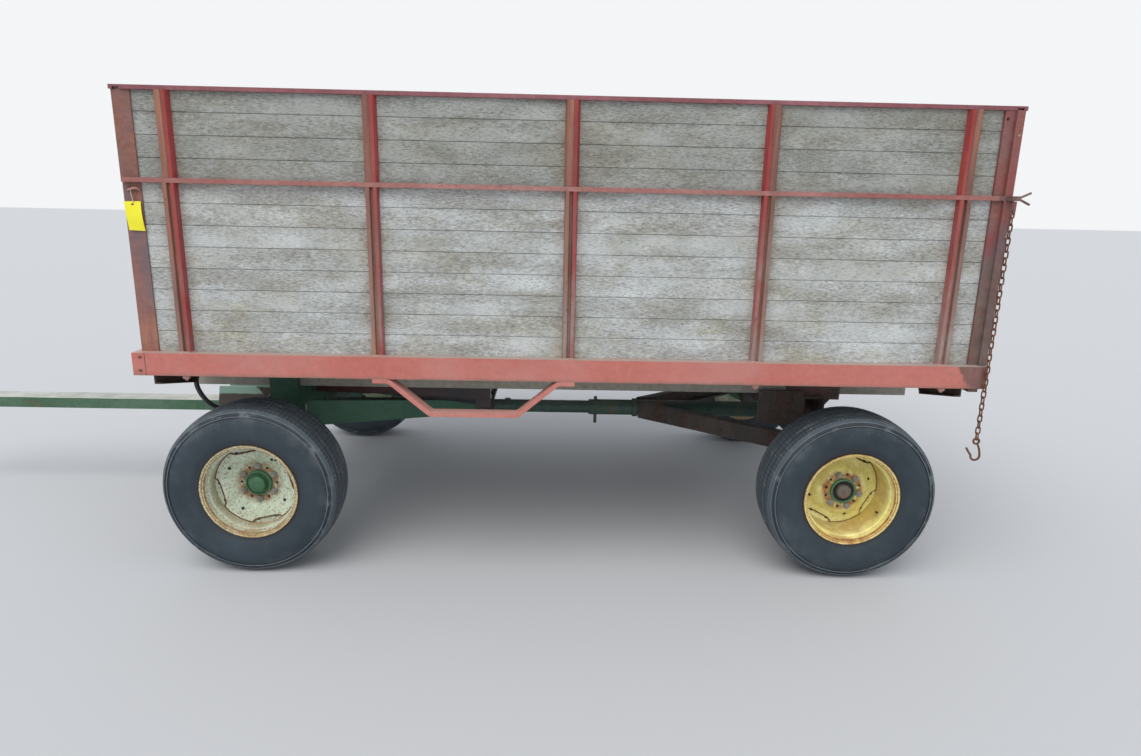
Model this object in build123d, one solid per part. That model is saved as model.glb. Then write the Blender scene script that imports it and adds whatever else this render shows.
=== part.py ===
from build123d import *
import math
import os

# Farm barge wagon: a wooden tilting box on a four wheel running gear.
# Millimetres. X points to the rear, the tongue is at -X, Y to the right
# side, Z up. X is drawn from the middle of the box, and save() moves each
# piece, so that the origin is on the ground under the middle of the whole
# wagon, tongue included.
ORIGIN_SHIFT = 916

# Longer than the wagon, for cuts that go right through
FAR = 4000

# Running gear, driving sizes
HALF_TRACK = 945
FRONT_AXLE_X = -1345
REAR_AXLE_X = 1240
TYRE_R = 372
TYRE_HALF_W = 125
RIM_R = 208
RIM_HALF_W = 110
HUB_Z = TYRE_R
HUB_R = 55
DISC_Y = 20
DISC_T = 8
DISC_RIM_Y = -8
FACETS = 44

# Axles and spindles
AXLE_BOTTOM = HUB_Z + 43
AXLE_SIDE = 90
AXLE_WALL = 8
AXLE_TOP = AXLE_BOTTOM + AXLE_SIDE
KINGPIN_Y = HALF_TRACK - 245
KINGPIN_R = 16
SPINDLE_R = 25
SPINDLE_END = HALF_TRACK - 10
RUN_GAP = 0.05

# Reach and hounds
REACH_Z = AXLE_BOTTOM + 61
REACH_R = 35
REACH_WALL = 6
SLEEVE_R = 43
SLEEVE_X0 = 140
SLEEVE_X1 = 400
REACH_FRONT_X = FRONT_AXLE_X + AXLE_SIDE / 2
REACH_REAR_X = REAR_AXLE_X - AXLE_SIDE / 2
HOUND_T = 8
REAR_HOUND_X = 425
REAR_HOUND_H = 86
REAR_HOUND_W = 50
REAR_HOUND_SPREAD = 640
FRONT_HOUND_X = -480
FRONT_HOUND_SPREAD = 400
FRONT_HOUND_TALL = 135
FRONT_HOUND_BOTTOM = REACH_Z - 11
FRONT_HOUND_LOW = 75

# Bolsters
SILL_GAP = 5
BOLSTER_H = 100
BOLSTER_W = 110
REAR_BOLSTER_X0 = 1157
REAR_BOLSTER_X1 = 1262
REAR_CHEEK_X0 = 940
CHEEK_OUT = 20
CHEEK_T = 15
STAKE_PLATE_W = 130
STAKE_PLATE_T = 40
STAKE_PLATE_TOP = 800

# Bed frame
MAIN_SILL_Y = 530
MAIN_SILL_W = 42
MAIN_SILL_BOTTOM = 709
CROSS_BOTTOM = 842
FLOOR_BOTTOM = 940
FLOOR_TOP = 975
END_MEMBER_W = 26
END_MEMBER_LOW = 775
CROSS_MID_W = 60
CROSS_PITCH = 480
CROSS_WALL = 6
CROSS_TIP_BOTTOM = 892
BOLSTER_TOP = MAIN_SILL_BOTTOM - SILL_GAP

# Box
BOX_HALF_W = 1100
LEDGE = 50
FRONT_LEDGE = 26
BOARD_T = 22
BOARD_FACE = 83.5
LOW_BOARD_COUNT = 8
HIGH_BOARD_COUNT = 4
GROOVE = 3
SILL_TOP = 980
SILL_H = 92
SILL_WALL = 5
SILL_X0 = -1740
SILL_X1 = 1715
SILL_LAP = 50
WALL_Y = BOX_HALF_W - LEDGE
WALL_X0 = SILL_X0 + FRONT_LEDGE
WALL_X1 = SILL_X1 + 4
INNER_Y = WALL_Y - BOARD_T
BOARD_TOP = SILL_TOP + (LOW_BOARD_COUNT + HIGH_BOARD_COUNT) * BOARD_FACE
RAIL_Z = SILL_TOP + LOW_BOARD_COUNT * BOARD_FACE
RAIL_H = 18
CAP_T = 8
CAP_DROP = 8
CAP_OUT = 14

# Stakes
STAKE_PITCH = 769
STAKE_DEPTH = 26
STAKE_WALL = 4
LOW_STAKE_W = 52
HIGH_STAKE_W = 57
POST_W = 69
POST_T = 6
POST_STEP = 4
REAR_POST_W = 69
REAR_POST_T = 12
REAR_RIB_W = 31
END_STAKE_PITCH = 560

# Tailgate
GATE_PIN_X = 1736
GATE_PIN_Z = 1618
GATE_PIN_R = 10
GATE_Y = INNER_Y - 7
GATE_CLEAR = 8

# Hoist: bed hinge, cylinder base pin and its pin on the bed
HINGE_X = 1307
HINGE_Z = 717
HINGE_R = 19
BASE_X = -420
BASE_Z = REACH_Z + 84
HEAD_X = -1220
HEAD_Z = 650
CYL_Y = 160
BARREL_R = 40
STAGE_R = 31
ROD_R = 22
PIN_R = 14

# Steering and tongue
STEER_X = -1445
STEER_R = 18
PLATE_BOSS_R = 32
ARM_X = -150
ARM_Y = 40
TIE_Z = HUB_Z + 26
TIE_R = 13
TONGUE_W = 120
TONGUE_H = 56
TONGUE_WALL = 6
TONGUE_TOP = AXLE_BOTTOM + 81
TONGUE_PIN_X = -1850
TONGUE_PIN_R = 13
TONGUE_TIP_X = -3560
HITCH_R = 16

# Step and chain
STEP_DEPTH = 60
STEP_T = 18
CHAIN_X = 1704
CHAIN_Y = -BOX_HALF_W - 14
CHAIN_TOP = 1588
CHAIN_WIRE = 6
CHAIN_PITCH = 25.4
CHAIN_LINKS = 36
LINK_SPACING = CHAIN_PITCH + 0.3
LINK_HALF = CHAIN_PITCH / 2
LINK_W = 11
HOOK_R = 12
HOOK_DROP = 62
HOOK_WIRE = 4
HOSE_R = 11

os.makedirs("parts", exist_ok=True)


def block(x0, x1, y0, y1, z0, z1):
    return Pos((x0 + x1) / 2, (y0 + y1) / 2, (z0 + z1) / 2) * Box(x1 - x0, y1 - y0, z1 - z0)


def rod_y(x, z, y0, y1, r):
    return Pos(x, (y0 + y1) / 2, z) * Rot(90, 0, 0) * Cylinder(r, y1 - y0)


def rod_x(y, z, x0, x1, r):
    return Pos((x0 + x1) / 2, y, z) * Rot(0, 90, 0) * Cylinder(r, x1 - x0)


def rod_z(x, y, z0, z1, r):
    return Pos(x, y, (z0 + z1) / 2) * Cylinder(r, z1 - z0)


def both(shape):
    return [shape, shape.mirror(Plane.XZ)]


def plate_xz(points, y0, y1):
    # A flat plate drawn in the XZ plane, from y0 to y1
    face = Plane.XZ * make_face(Polyline(*points, close=True))
    return Pos(0, y1, 0) * extrude(face, amount=y1 - y0)


def prism_z(points, z0, z1):
    face = Pos(0, 0, z0) * make_face(Polyline(*points, close=True))
    return extrude(face, amount=z1 - z0)


def save(name, solids):
    found = []
    for shape in solids if isinstance(solids, list) else [solids]:
        found.extend((Pos(ORIGIN_SHIFT, 0, 0) * shape).solids())
    export_step(Compound(children=found), f"parts/{name}.step")


def channel_y(x0, x1, z0, z1, y0, y1, wall):
    # A channel laid across, open downwards
    return block(x0, x1, y0, y1, z0, z1) - block(x0 + wall, x1 - wall, y0, y1, z0 - 1, z1 - wall)


# Wheels: turned about Y, drawn for the left side, outboard is -Y
def facet_ring(profile):
    # Closed ring of flat faces from a closed line of (radius, y) points
    step = 2 * math.pi / FACETS
    rings = []
    for number in range(FACETS):
        angle = (number + 0.5) * step
        rings.append([(r * math.cos(angle), y, r * math.sin(angle)) for r, y in profile])
    faces = []
    count = len(profile)
    for number in range(FACETS):
        here = rings[number]
        there = rings[(number + 1) % FACETS]
        for i in range(count):
            j = (i + 1) % count
            faces.append(Face(Wire.make_polygon([here[i], here[j], there[j], there[i]])))
    return Solid(Shell(faces))


def tyre():
    side = TYRE_HALF_W
    seat = RIM_HALF_W - 6
    crown = TYRE_R / math.cos(math.pi / FACETS)
    return facet_ring([
        (RIM_R, -seat), (290, -side), (338, -side + 7), (crown - 14, -side + 25), (crown, -40),
        (crown, 40), (crown - 14, side - 25), (338, side - 7), (290, side), (RIM_R, seat),
        (RIM_R - 24, 62), (RIM_R - 24, -62),
    ])


def rim():
    half = RIM_HALF_W
    barrel = RIM_R - 24
    shape = facet_ring([
        (RIM_R, -half), (RIM_R, -half + 6), (barrel, -62), (barrel, 62), (RIM_R, half - 6), (RIM_R, half),
        (RIM_R - 20, half - 12), (barrel - 6, 56), (barrel - 6, DISC_RIM_Y + 8), (124, 14),
        (100, DISC_Y + DISC_T), (HUB_R + 7, DISC_Y + DISC_T), (HUB_R + 7, DISC_Y), (98, DISC_Y), (122, 6),
        (barrel - 6, DISC_RIM_Y), (barrel - 6, -56), (RIM_R - 20, -half + 12),
    ])
    # Four slots between the disc's flats and the rim
    reach = (barrel - 8) * math.cos(math.pi / FACETS)
    slot = Pos(reach - 9, 0, 0) * Box(18, 60, 84)
    slot = slot & (Rot(90, 0, 0) * Cylinder(reach, 60))
    for number in range(4):
        shape -= Rot(0, 45 + 90 * number, 0) * slot
    return shape


def hub():
    bore = SPINDLE_R + RUN_GAP
    back = DISC_Y + DISC_T
    section = make_face(
        Polyline(
            (bore, 118), (HUB_R - 3, 118), (HUB_R - 3, back + 8), (90, back + 8), (90, back + RUN_GAP),
            (HUB_R, back + RUN_GAP), (HUB_R, 0), (32, -3), (30, -14), (20, -23), (0, -26), (0, 4), (bore, 4),
            close=True,
        )
    )
    return revolve(section, Axis.Y)


# Each row: name, axle x, side
WHEELS = [
    ("front_left", FRONT_AXLE_X, -1),
    ("front_right", FRONT_AXLE_X, 1),
    ("rear_left", REAR_AXLE_X, -1),
    ("rear_right", REAR_AXLE_X, 1),
]
for name, axle_x, side in WHEELS:
    for piece, shape in (("tyre", tyre()), ("rim", rim()), ("hub", hub())):
        turned = shape if side < 0 else shape.mirror(Plane.XZ)
        save(f"{name}_{piece}", Pos(axle_x, side * HALF_TRACK, HUB_Z) * turned)


# Axles
def axle_beam(x, half_length):
    half = AXLE_SIDE / 2
    outer = block(x - half, x + half, -half_length, half_length, AXLE_BOTTOM, AXLE_TOP)
    inner = block(
        x - half + AXLE_WALL, x + half - AXLE_WALL, -half_length, half_length,
        AXLE_BOTTOM + AXLE_WALL, AXLE_TOP - AXLE_WALL,
    )
    return outer - inner


FORK_T = 22
FORK_Z0 = HUB_Z - 70
KNUCKLE_Z0 = FORK_Z0 + FORK_T + RUN_GAP * 4
KNUCKLE_Z1 = AXLE_BOTTOM - RUN_GAP * 4

front = axle_beam(FRONT_AXLE_X, KINGPIN_Y - 60)
for side in (-1, 1):
    y = side * KINGPIN_Y
    back_y = side * (KINGPIN_Y - 60)
    upper = block(
        FRONT_AXLE_X - 45, FRONT_AXLE_X + 45, min(y + side * 32, back_y), max(y + side * 32, back_y),
        KNUCKLE_Z1 + RUN_GAP * 4, AXLE_TOP,
    )
    web_y = side * (KINGPIN_Y - 72)
    web = block(
        FRONT_AXLE_X - 45, FRONT_AXLE_X + 45, min(web_y, web_y + side * 18),
        max(web_y, web_y + side * 18), FORK_Z0, AXLE_BOTTOM,
    )
    lower = block(
        FRONT_AXLE_X - 45, FRONT_AXLE_X + 45, min(web_y, y + side * 32), max(web_y, y + side * 32),
        FORK_Z0, FORK_Z0 + FORK_T,
    )
    front += upper + web + lower
    front += rod_z(FRONT_AXLE_X, y, FORK_Z0, AXLE_TOP + 12, KINGPIN_R)
nose = block(STEER_X - 45, REACH_FRONT_X - AXLE_SIDE, -60, 60, AXLE_BOTTOM + 62, AXLE_TOP - 8)
nose += block(STEER_X - 45, REACH_FRONT_X - AXLE_SIDE, -60, 60, AXLE_BOTTOM - 30, AXLE_BOTTOM - 10)
nose += block(FRONT_AXLE_X - 58, FRONT_AXLE_X - 45, -60, 60, AXLE_BOTTOM - 30, AXLE_TOP - 8)
nose += rod_z(STEER_X, 0, AXLE_BOTTOM - 40, AXLE_TOP + 4, STEER_R)
front += nose
save("front_axle", front)

rear = axle_beam(REAR_AXLE_X, KINGPIN_Y)
for side in (-1, 1):
    y0 = side * (KINGPIN_Y - 10)
    y1 = side * (KINGPIN_Y + 90)
    rear += block(REAR_AXLE_X - 45, REAR_AXLE_X + 45, min(y0, y1), max(y0, y1), HUB_Z - 50, AXLE_TOP)
    y2 = side * SPINDLE_END
    rear += rod_y(REAR_AXLE_X, HUB_Z, min(y1, y2), max(y1, y2), SPINDLE_R)
save("rear_axle", rear)


# Knuckles, drawn for the left side
def knuckle():
    body = rod_z(FRONT_AXLE_X, -KINGPIN_Y, KNUCKLE_Z0, KNUCKLE_Z1, 34)
    x0 = FRONT_AXLE_X - 30
    body += block(x0, x0 + 60, -KINGPIN_Y - 115, -KINGPIN_Y - 20, HUB_Z - 36, HUB_Z + 36)
    body += rod_y(FRONT_AXLE_X, HUB_Z, -SPINDLE_END, -KINGPIN_Y - 100, SPINDLE_R)
    end_x = FRONT_AXLE_X + ARM_X
    end_y = -KINGPIN_Y - ARM_Y
    arm = prism_z(
        [
            (FRONT_AXLE_X - 24, -KINGPIN_Y - 60), (FRONT_AXLE_X - 24, -KINGPIN_Y - 10),
            (end_x - 20, end_y + 18), (end_x - 20, end_y - 18),
        ],
        HUB_Z - 36, HUB_Z - 20,
    )
    arm += rod_z(end_x, end_y, HUB_Z - 36, TIE_Z + 18, 9)
    body += arm
    return body - rod_z(FRONT_AXLE_X, -KINGPIN_Y, KNUCKLE_Z0 - 5, KNUCKLE_Z1 + 5, KINGPIN_R + RUN_GAP)


left_knuckle = knuckle()
save("left_knuckle", left_knuckle)
save("right_knuckle", left_knuckle.mirror(Plane.XZ))


# Tie rods: from the steering plate's eye to the knuckle arm's pin
def tie_rod():
    x0 = STEER_X + ARM_X
    y0 = -ARM_Y
    x1 = FRONT_AXLE_X + ARM_X
    y1 = -KINGPIN_Y - ARM_Y
    length = math.hypot(x1 - x0, y1 - y0)
    angle = math.degrees(math.atan2(y1 - y0, x1 - x0))
    bar = Pos(length / 2, 0, 0) * Rot(0, 90, 0) * Cylinder(TIE_R, length - 36)
    for end in (0, length):
        bar += Pos(end, 0, 0) * (Cylinder(22, 22) - Cylinder(9 + RUN_GAP, 30))
    return Pos(x0, y0, TIE_Z) * Rot(0, 0, angle) * bar


left_tie = tie_rod()
save("left_tie_rod", left_tie)
save("right_tie_rod", left_tie.mirror(Plane.XZ))

# Steering plate: swings about the nose pin and carries the tongue pin
PLATE_Z0 = AXLE_BOTTOM - 10 + RUN_GAP * 4
PLATE_Z1 = AXLE_BOTTOM + 62 - RUN_GAP * 4
TONGUE_Z = TONGUE_TOP - TONGUE_H / 2
EAR_Y0 = TONGUE_W / 2 + 2
EAR_Y1 = EAR_Y0 + 12
EAR_X0 = TONGUE_PIN_X - 40
EAR_X1 = STEER_X + ARM_X - 20
EAR_TOP = TONGUE_TOP + 84
plate = prism_z(
    [
        (STEER_X + 20, -24), (STEER_X + 20, 24), (STEER_X - 60, 64), (STEER_X + ARM_X, 76),
        (STEER_X + ARM_X - 60, 76), (STEER_X + ARM_X - 60, -76), (STEER_X + ARM_X, -76), (STEER_X - 60, -64),
    ],
    PLATE_Z0 + 18, PLATE_Z1,
)
plate += rod_z(STEER_X, 0, PLATE_Z0, PLATE_Z1, PLATE_BOSS_R)
for side in (-1, 1):
    y0 = min(side * EAR_Y0, side * EAR_Y1)
    y1 = max(side * EAR_Y0, side * EAR_Y1)
    plate += plate_xz(
        [
            (EAR_X0, TONGUE_Z - 34), (EAR_X0, TONGUE_Z + 34), (EAR_X0 + 10, EAR_TOP), (EAR_X1 - 65, EAR_TOP),
            (EAR_X1, TONGUE_Z + 34), (EAR_X1, TONGUE_Z - 34),
        ],
        y0, y1,
    )
    plate += rod_z(STEER_X + ARM_X, side * ARM_Y, TIE_Z - 14, PLATE_Z0 + 20, 9)
plate += rod_y(TONGUE_PIN_X, TONGUE_Z, -EAR_Y1 - 10, EAR_Y1 + 10, TONGUE_PIN_R)
plate -= rod_z(STEER_X, 0, PLATE_Z0 - 5, PLATE_Z1 + 5, STEER_R + RUN_GAP)
save("steering_plate", plate)

# Tongue: channel open downwards, on the tongue pin
TONGUE_REAR_X = TONGUE_PIN_X + 34
tongue = block(
    TONGUE_TIP_X + 120, TONGUE_REAR_X, -TONGUE_W / 2, TONGUE_W / 2, TONGUE_TOP - TONGUE_H, TONGUE_TOP
)
tongue -= block(
    TONGUE_TIP_X + 100, TONGUE_REAR_X + 20, -TONGUE_W / 2 + TONGUE_WALL, TONGUE_W / 2 - TONGUE_WALL,
    TONGUE_TOP - TONGUE_H - 1, TONGUE_TOP - TONGUE_WALL,
)
inner_y = TONGUE_W / 2 - TONGUE_WALL
tongue += rod_y(TONGUE_PIN_X, TONGUE_Z, -inner_y, inner_y, TONGUE_PIN_R + 8)
tongue -= rod_y(TONGUE_PIN_X, TONGUE_Z, -TONGUE_W, TONGUE_W, TONGUE_PIN_R + RUN_GAP)
save("tongue", tongue)

HITCH_T = 14
HITCH_GAP = 28
HITCH_Z = TONGUE_TOP - TONGUE_WALL - HITCH_T - HITCH_GAP / 2
jaw_points = [
    (TONGUE_TIP_X - 40, -38), (TONGUE_TIP_X + 220, -46), (TONGUE_TIP_X + 220, 46), (TONGUE_TIP_X - 40, 38),
]
hitch_plate = prism_z(jaw_points, HITCH_Z + HITCH_GAP / 2, HITCH_Z + HITCH_GAP / 2 + HITCH_T)
lower_jaw = prism_z(jaw_points, HITCH_Z - HITCH_GAP / 2 - HITCH_T, HITCH_Z - HITCH_GAP / 2)
clevis = hitch_plate + lower_jaw
clevis += block(
    TONGUE_TIP_X + 90, TONGUE_TIP_X + 220, -46, 46, HITCH_Z - HITCH_GAP / 2 - 1, HITCH_Z + HITCH_GAP / 2 + 1
)
clevis -= rod_z(TONGUE_TIP_X, 0, HITCH_Z - 80, HITCH_Z + 80, HITCH_R)
save("hitch_clevis", clevis)

# Reach tube, rear sleeve with its pin
reach = rod_x(0, REACH_Z, REACH_FRONT_X, SLEEVE_X1 + 60, REACH_R)
reach -= rod_x(0, REACH_Z, REACH_FRONT_X - 1, SLEEVE_X1 + 61, REACH_R - REACH_WALL)
reach += rod_x(0, REACH_Z, -330, -300, REACH_R + 8) - rod_x(0, REACH_Z, -331, -299, REACH_R - 1)
save("reach_tube", reach)

PIN_HEAD_X = 178
sleeve = rod_x(0, REACH_Z, SLEEVE_X0, REACH_REAR_X, SLEEVE_R)
sleeve -= rod_x(0, REACH_Z, SLEEVE_X0 - 1, REACH_REAR_X + 1, REACH_R)
sleeve += rod_x(0, REACH_Z, SLEEVE_X1 - 14, SLEEVE_X1 + 14, SLEEVE_R + 8) - rod_x(
    0, REACH_Z, SLEEVE_X1 - 15, SLEEVE_X1 + 15, SLEEVE_R - 1
)
sleeve += rod_z(PIN_HEAD_X, 0, REACH_Z - 92, REACH_Z - SLEEVE_R + 2, 9)
sleeve += rod_z(PIN_HEAD_X, 0, REACH_Z + SLEEVE_R - 2, REACH_Z + 60, 9)
save("reach_sleeve", sleeve)


# Rear hounds: channels from the sleeve to the axle ends
def rear_hound():
    start = (REAR_HOUND_X, -SLEEVE_R + 4)
    end = (REACH_REAR_X, -REAR_HOUND_SPREAD)
    run = math.hypot(end[0] - start[0], end[1] - start[1])
    angle = math.degrees(math.atan2(end[1] - start[1], end[0] - start[0]))
    long = run + 60
    bar = Box(long, REAR_HOUND_W, REAR_HOUND_H)
    bar -= Pos(0, HOUND_T, 0) * Box(long + 2, REAR_HOUND_W, REAR_HOUND_H - 2 * HOUND_T)
    middle = ((start[0] + end[0]) / 2, (start[1] + end[1]) / 2)
    return Pos(middle[0], middle[1], REACH_Z) * Rot(0, 0, angle) * bar


hound = rear_hound()
hound -= block(REACH_REAR_X, REACH_REAR_X + FAR, -FAR, 0, 0, FAR)
hound -= block(0, REACH_REAR_X, -SLEEVE_R - 1, FAR, 0, FAR)
hound -= block(0, SLEEVE_X1 + 15, -FAR, FAR, 0, FAR)
save("rear_hounds", both(hound))


# Front hounds: tapered plates from the axle to the reach
def front_hound():
    start = (REACH_FRONT_X, -FRONT_HOUND_SPREAD)
    end = (FRONT_HOUND_X, -REACH_R)
    run = math.hypot(end[0] - start[0], end[1] - start[1])
    angle = math.degrees(math.atan2(end[1] - start[1], end[0] - start[0]))
    low = REACH_Z - FRONT_HOUND_LOW / 2
    web = plate_xz(
        [
            (0, FRONT_HOUND_BOTTOM), (0, FRONT_HOUND_BOTTOM + FRONT_HOUND_TALL), (run, low + FRONT_HOUND_LOW),
            (run, low),
        ],
        -HOUND_T / 2, HOUND_T / 2,
    )
    lip = plate_xz(
        [(0, FRONT_HOUND_BOTTOM), (0, FRONT_HOUND_BOTTOM + 8), (run, low + 8), (run, low)], -HOUND_T / 2, 32
    )
    shape = Pos(start[0], start[1], 0) * Rot(0, 0, angle) * (web + lip)
    shape -= block(-FAR, REACH_FRONT_X, -FAR, 0, 0, FAR)
    return shape - block(-FAR, 0, -REACH_R - 1, FAR, 0, FAR)


save("front_hounds", both(front_hound()))


# Bolsters
def stake_plates(x):
    y0 = -MAIN_SILL_Y - SILL_GAP - STAKE_PLATE_T
    y1 = -MAIN_SILL_Y - SILL_GAP
    half = STAKE_PLATE_W / 2
    return block(x - half, x + half, y0, y1, BOLSTER_TOP - BOLSTER_H, STAKE_PLATE_TOP)


front_bolster = channel_y(
    FRONT_AXLE_X - BOLSTER_W / 2, FRONT_AXLE_X + BOLSTER_W / 2, BOLSTER_TOP - BOLSTER_H, BOLSTER_TOP,
    -MAIN_SILL_Y - SILL_GAP, MAIN_SILL_Y + SILL_GAP, HOUND_T,
)
for plates in both(stake_plates(FRONT_AXLE_X)):
    front_bolster += plates
BEARER_TOP = BOLSTER_TOP - HOUND_T + 1
for y in (-440, -120):
    bearer = block(FRONT_AXLE_X - 45, FRONT_AXLE_X + 45, y, y + 15, AXLE_TOP, BEARER_TOP)
    for plates in both(bearer):
        front_bolster += plates
save("front_bolster", front_bolster)

rear_bolster = channel_y(
    REAR_BOLSTER_X0, REAR_BOLSTER_X1, BOLSTER_TOP - BOLSTER_H, BOLSTER_TOP,
    -MAIN_SILL_Y - SILL_GAP - 30, MAIN_SILL_Y + SILL_GAP + 30, HOUND_T,
)
for plates in both(block(REAR_AXLE_X - 45, REAR_BOLSTER_X1, -440, -425, AXLE_TOP, BEARER_TOP)):
    rear_bolster += plates
HINGE_PLATE_T = 12
HINGE_PLATE_BOTTOM = HINGE_Z - 33
notch_y = MAIN_SILL_Y + HINGE_PLATE_T + SILL_GAP
notch = block(
    REAR_BOLSTER_X0 - 1, REAR_BOLSTER_X1 + 1, -notch_y, -MAIN_SILL_Y + 6,
    HINGE_PLATE_BOTTOM - 6, BOLSTER_TOP + 1,
)
for plates in both(notch):
    rear_bolster -= plates
CHEEK_Y = -MAIN_SILL_Y - CHEEK_OUT
cheek = block(REAR_CHEEK_X0, REAR_BOLSTER_X0, CHEEK_Y - CHEEK_T, CHEEK_Y, BOLSTER_TOP - 140, BOLSTER_TOP + 26)
for plates in both(cheek):
    rear_bolster += plates
LUG_T = 16
LUG_Y = MAIN_SILL_Y - MAIN_SILL_W - SILL_GAP
for plates in both(
    plate_xz(
        [
            (REAR_AXLE_X, BOLSTER_TOP - 20), (REAR_AXLE_X, BOLSTER_TOP + 40), (HINGE_X + 26, HINGE_Z + 26),
            (HINGE_X + 26, HINGE_Z - 30), (REAR_BOLSTER_X1, BOLSTER_TOP - BOLSTER_H),
            (REAR_AXLE_X, BOLSTER_TOP - BOLSTER_H),
        ],
        -LUG_Y, -LUG_Y + LUG_T,
    )
):
    rear_bolster += plates
pin_y = MAIN_SILL_Y + HINGE_PLATE_T
rear_bolster += rod_y(HINGE_X, HINGE_Z, -pin_y, pin_y, HINGE_R)
save("rear_bolster", rear_bolster)

# Hoist frame: rails from the front bolster back to the base pin
RAIL_Y = 250
RAIL_W = 36
frame_rail = plate_xz(
    [
        (FRONT_AXLE_X + 45, BOLSTER_TOP - 90), (FRONT_AXLE_X + 45, BOLSTER_TOP - 20),
        (BASE_X + 30, BASE_Z + 96), (BASE_X + 30, BASE_Z + 26),
    ],
    -RAIL_Y - RAIL_W / 2, -RAIL_Y + RAIL_W / 2,
)
frame_rail -= block(-FAR, FRONT_AXLE_X + BOLSTER_W / 2, -FAR, 0, 0, FAR)
hanger = plate_xz(
    [
        (BASE_X - 50, BASE_Z + 70), (BASE_X + 30, BASE_Z + 70), (BASE_X + 30, BASE_Z - 50),
        (BASE_X - 50, BASE_Z - 50),
    ],
    -RAIL_Y + RAIL_W / 2, -RAIL_Y + RAIL_W / 2 + 14,
)
hoist_frame = frame_rail + hanger
hoist_frame += hoist_frame.mirror(Plane.XZ)
hoist_frame += rod_y(BASE_X, BASE_Z, -RAIL_Y + RAIL_W / 2, RAIL_Y - RAIL_W / 2, PIN_R)
SADDLE_TOP = REACH_Z + REACH_R + 12
hoist_frame += block(BASE_X - 30, BASE_X + 30, -RAIL_Y + 10, RAIL_Y - 10, SADDLE_TOP - 16, SADDLE_TOP)
hoist_frame += block(BASE_X - 30, BASE_X + 30, -48, 48, REACH_Z - 10, SADDLE_TOP)
for y in (-70, 70):
    hoist_frame += block(BASE_X - 18, BASE_X + 18, y - 7, y + 7, SADDLE_TOP - 1, BASE_Z + 18)
hoist_frame -= rod_x(0, REACH_Z, BASE_X - 60, BASE_X + 60, REACH_R)
save("hoist_frame", hoist_frame)

# Hoist cylinders: two-stage, drawn along their own axis from the base pin
LEAN = math.degrees(math.atan2(HEAD_Z - BASE_Z, BASE_X - HEAD_X))
CLOSED = math.hypot(HEAD_Z - BASE_Z, BASE_X - HEAD_X)


def place_cylinder(shape, y):
    return Pos(BASE_X, y, BASE_Z) * Rot(0, LEAN, 0) * shape


def along(x0, x1, r):
    return Pos(-(x0 + x1) / 2, 0, 0) * Rot(0, 90, 0) * Cylinder(r, x1 - x0)


BARREL_END = CLOSED - 96
barrel = along(44, BARREL_END, BARREL_R) - along(70, BARREL_END + 1, STAGE_R + 1)
barrel += along(16, 46, BARREL_R - 8)
barrel += Rot(90, 0, 0) * Cylinder(28, 56)
barrel -= Rot(90, 0, 0) * Cylinder(PIN_R + RUN_GAP, 60)
stage = along(90, BARREL_END + 20, STAGE_R) - along(100, BARREL_END + 21, ROD_R + 1)
ram = along(120, CLOSED - 20, ROD_R)
ram += along(BARREL_END + 26, CLOSED - 16, ROD_R + 4)
ram += Pos(-CLOSED, 0, 0) * Rot(90, 0, 0) * Cylinder(27, 50)
barrels = place_cylinder(barrel, -CYL_Y) + place_cylinder(barrel, CYL_Y)
stages = [place_cylinder(stage, -CYL_Y), place_cylinder(stage, CYL_Y)]
rams = place_cylinder(ram, -CYL_Y) + place_cylinder(ram, CYL_Y)
HEAD_PIN_Y = CYL_Y + 66
rams += rod_y(HEAD_X, HEAD_Z, -HEAD_PIN_Y, HEAD_PIN_Y, PIN_R)
save("hoist_barrels", barrels)
save("hoist_stages", stages)
save("hoist_rams", rams)

# Bed frame: two main sills and the cross members
MAIN_SILL_X0 = SILL_X0 - 40
MAIN_SILL_X1 = SILL_X1 - 48
main_sill = block(
    MAIN_SILL_X0, MAIN_SILL_X1, -MAIN_SILL_Y, -MAIN_SILL_Y + MAIN_SILL_W, MAIN_SILL_BOTTOM, CROSS_BOTTOM
)
main_sill -= block(
    MAIN_SILL_X0 - 1, MAIN_SILL_X1 + 1, -MAIN_SILL_Y + CROSS_WALL, -MAIN_SILL_Y + MAIN_SILL_W + 1,
    MAIN_SILL_BOTTOM + CROSS_WALL, CROSS_BOTTOM - CROSS_WALL,
)
main_sill += block(
    HINGE_X - 60, HINGE_X + 60, -MAIN_SILL_Y, -MAIN_SILL_Y + MAIN_SILL_W, MAIN_SILL_BOTTOM,
    MAIN_SILL_BOTTOM + 60,
)
main_sill += block(
    HINGE_X - 228, HINGE_X + 32, -MAIN_SILL_Y - HINGE_PLATE_T, -MAIN_SILL_Y, HINGE_PLATE_BOTTOM, CROSS_BOTTOM
)
main_sill -= rod_y(HINGE_X, HINGE_Z, -MAIN_SILL_Y - 60, -MAIN_SILL_Y + 60, HINGE_R + RUN_GAP)
save("main_sills", both(main_sill))

# Cross members: channels with tapered ends
members = []
for number in range(-3, 4):
    x0 = number * CROSS_PITCH - CROSS_MID_W / 2
    member = channel_y(
        x0, x0 + CROSS_MID_W, CROSS_BOTTOM, FLOOR_BOTTOM, -WALL_Y + 1, WALL_Y - 1, CROSS_WALL
    )
    taper = Plane.YZ * make_face(
        Polyline((-WALL_Y - 5, CROSS_BOTTOM - 5), (-MAIN_SILL_Y - 60, CROSS_BOTTOM - 5),
                 (-WALL_Y - 5, CROSS_TIP_BOTTOM + 10), close=True)
    )
    cut = Pos(x0 - 1, 0, 0) * extrude(taper, amount=CROSS_MID_W + 2)
    members.append(member - cut - cut.mirror(Plane.XZ))


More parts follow.
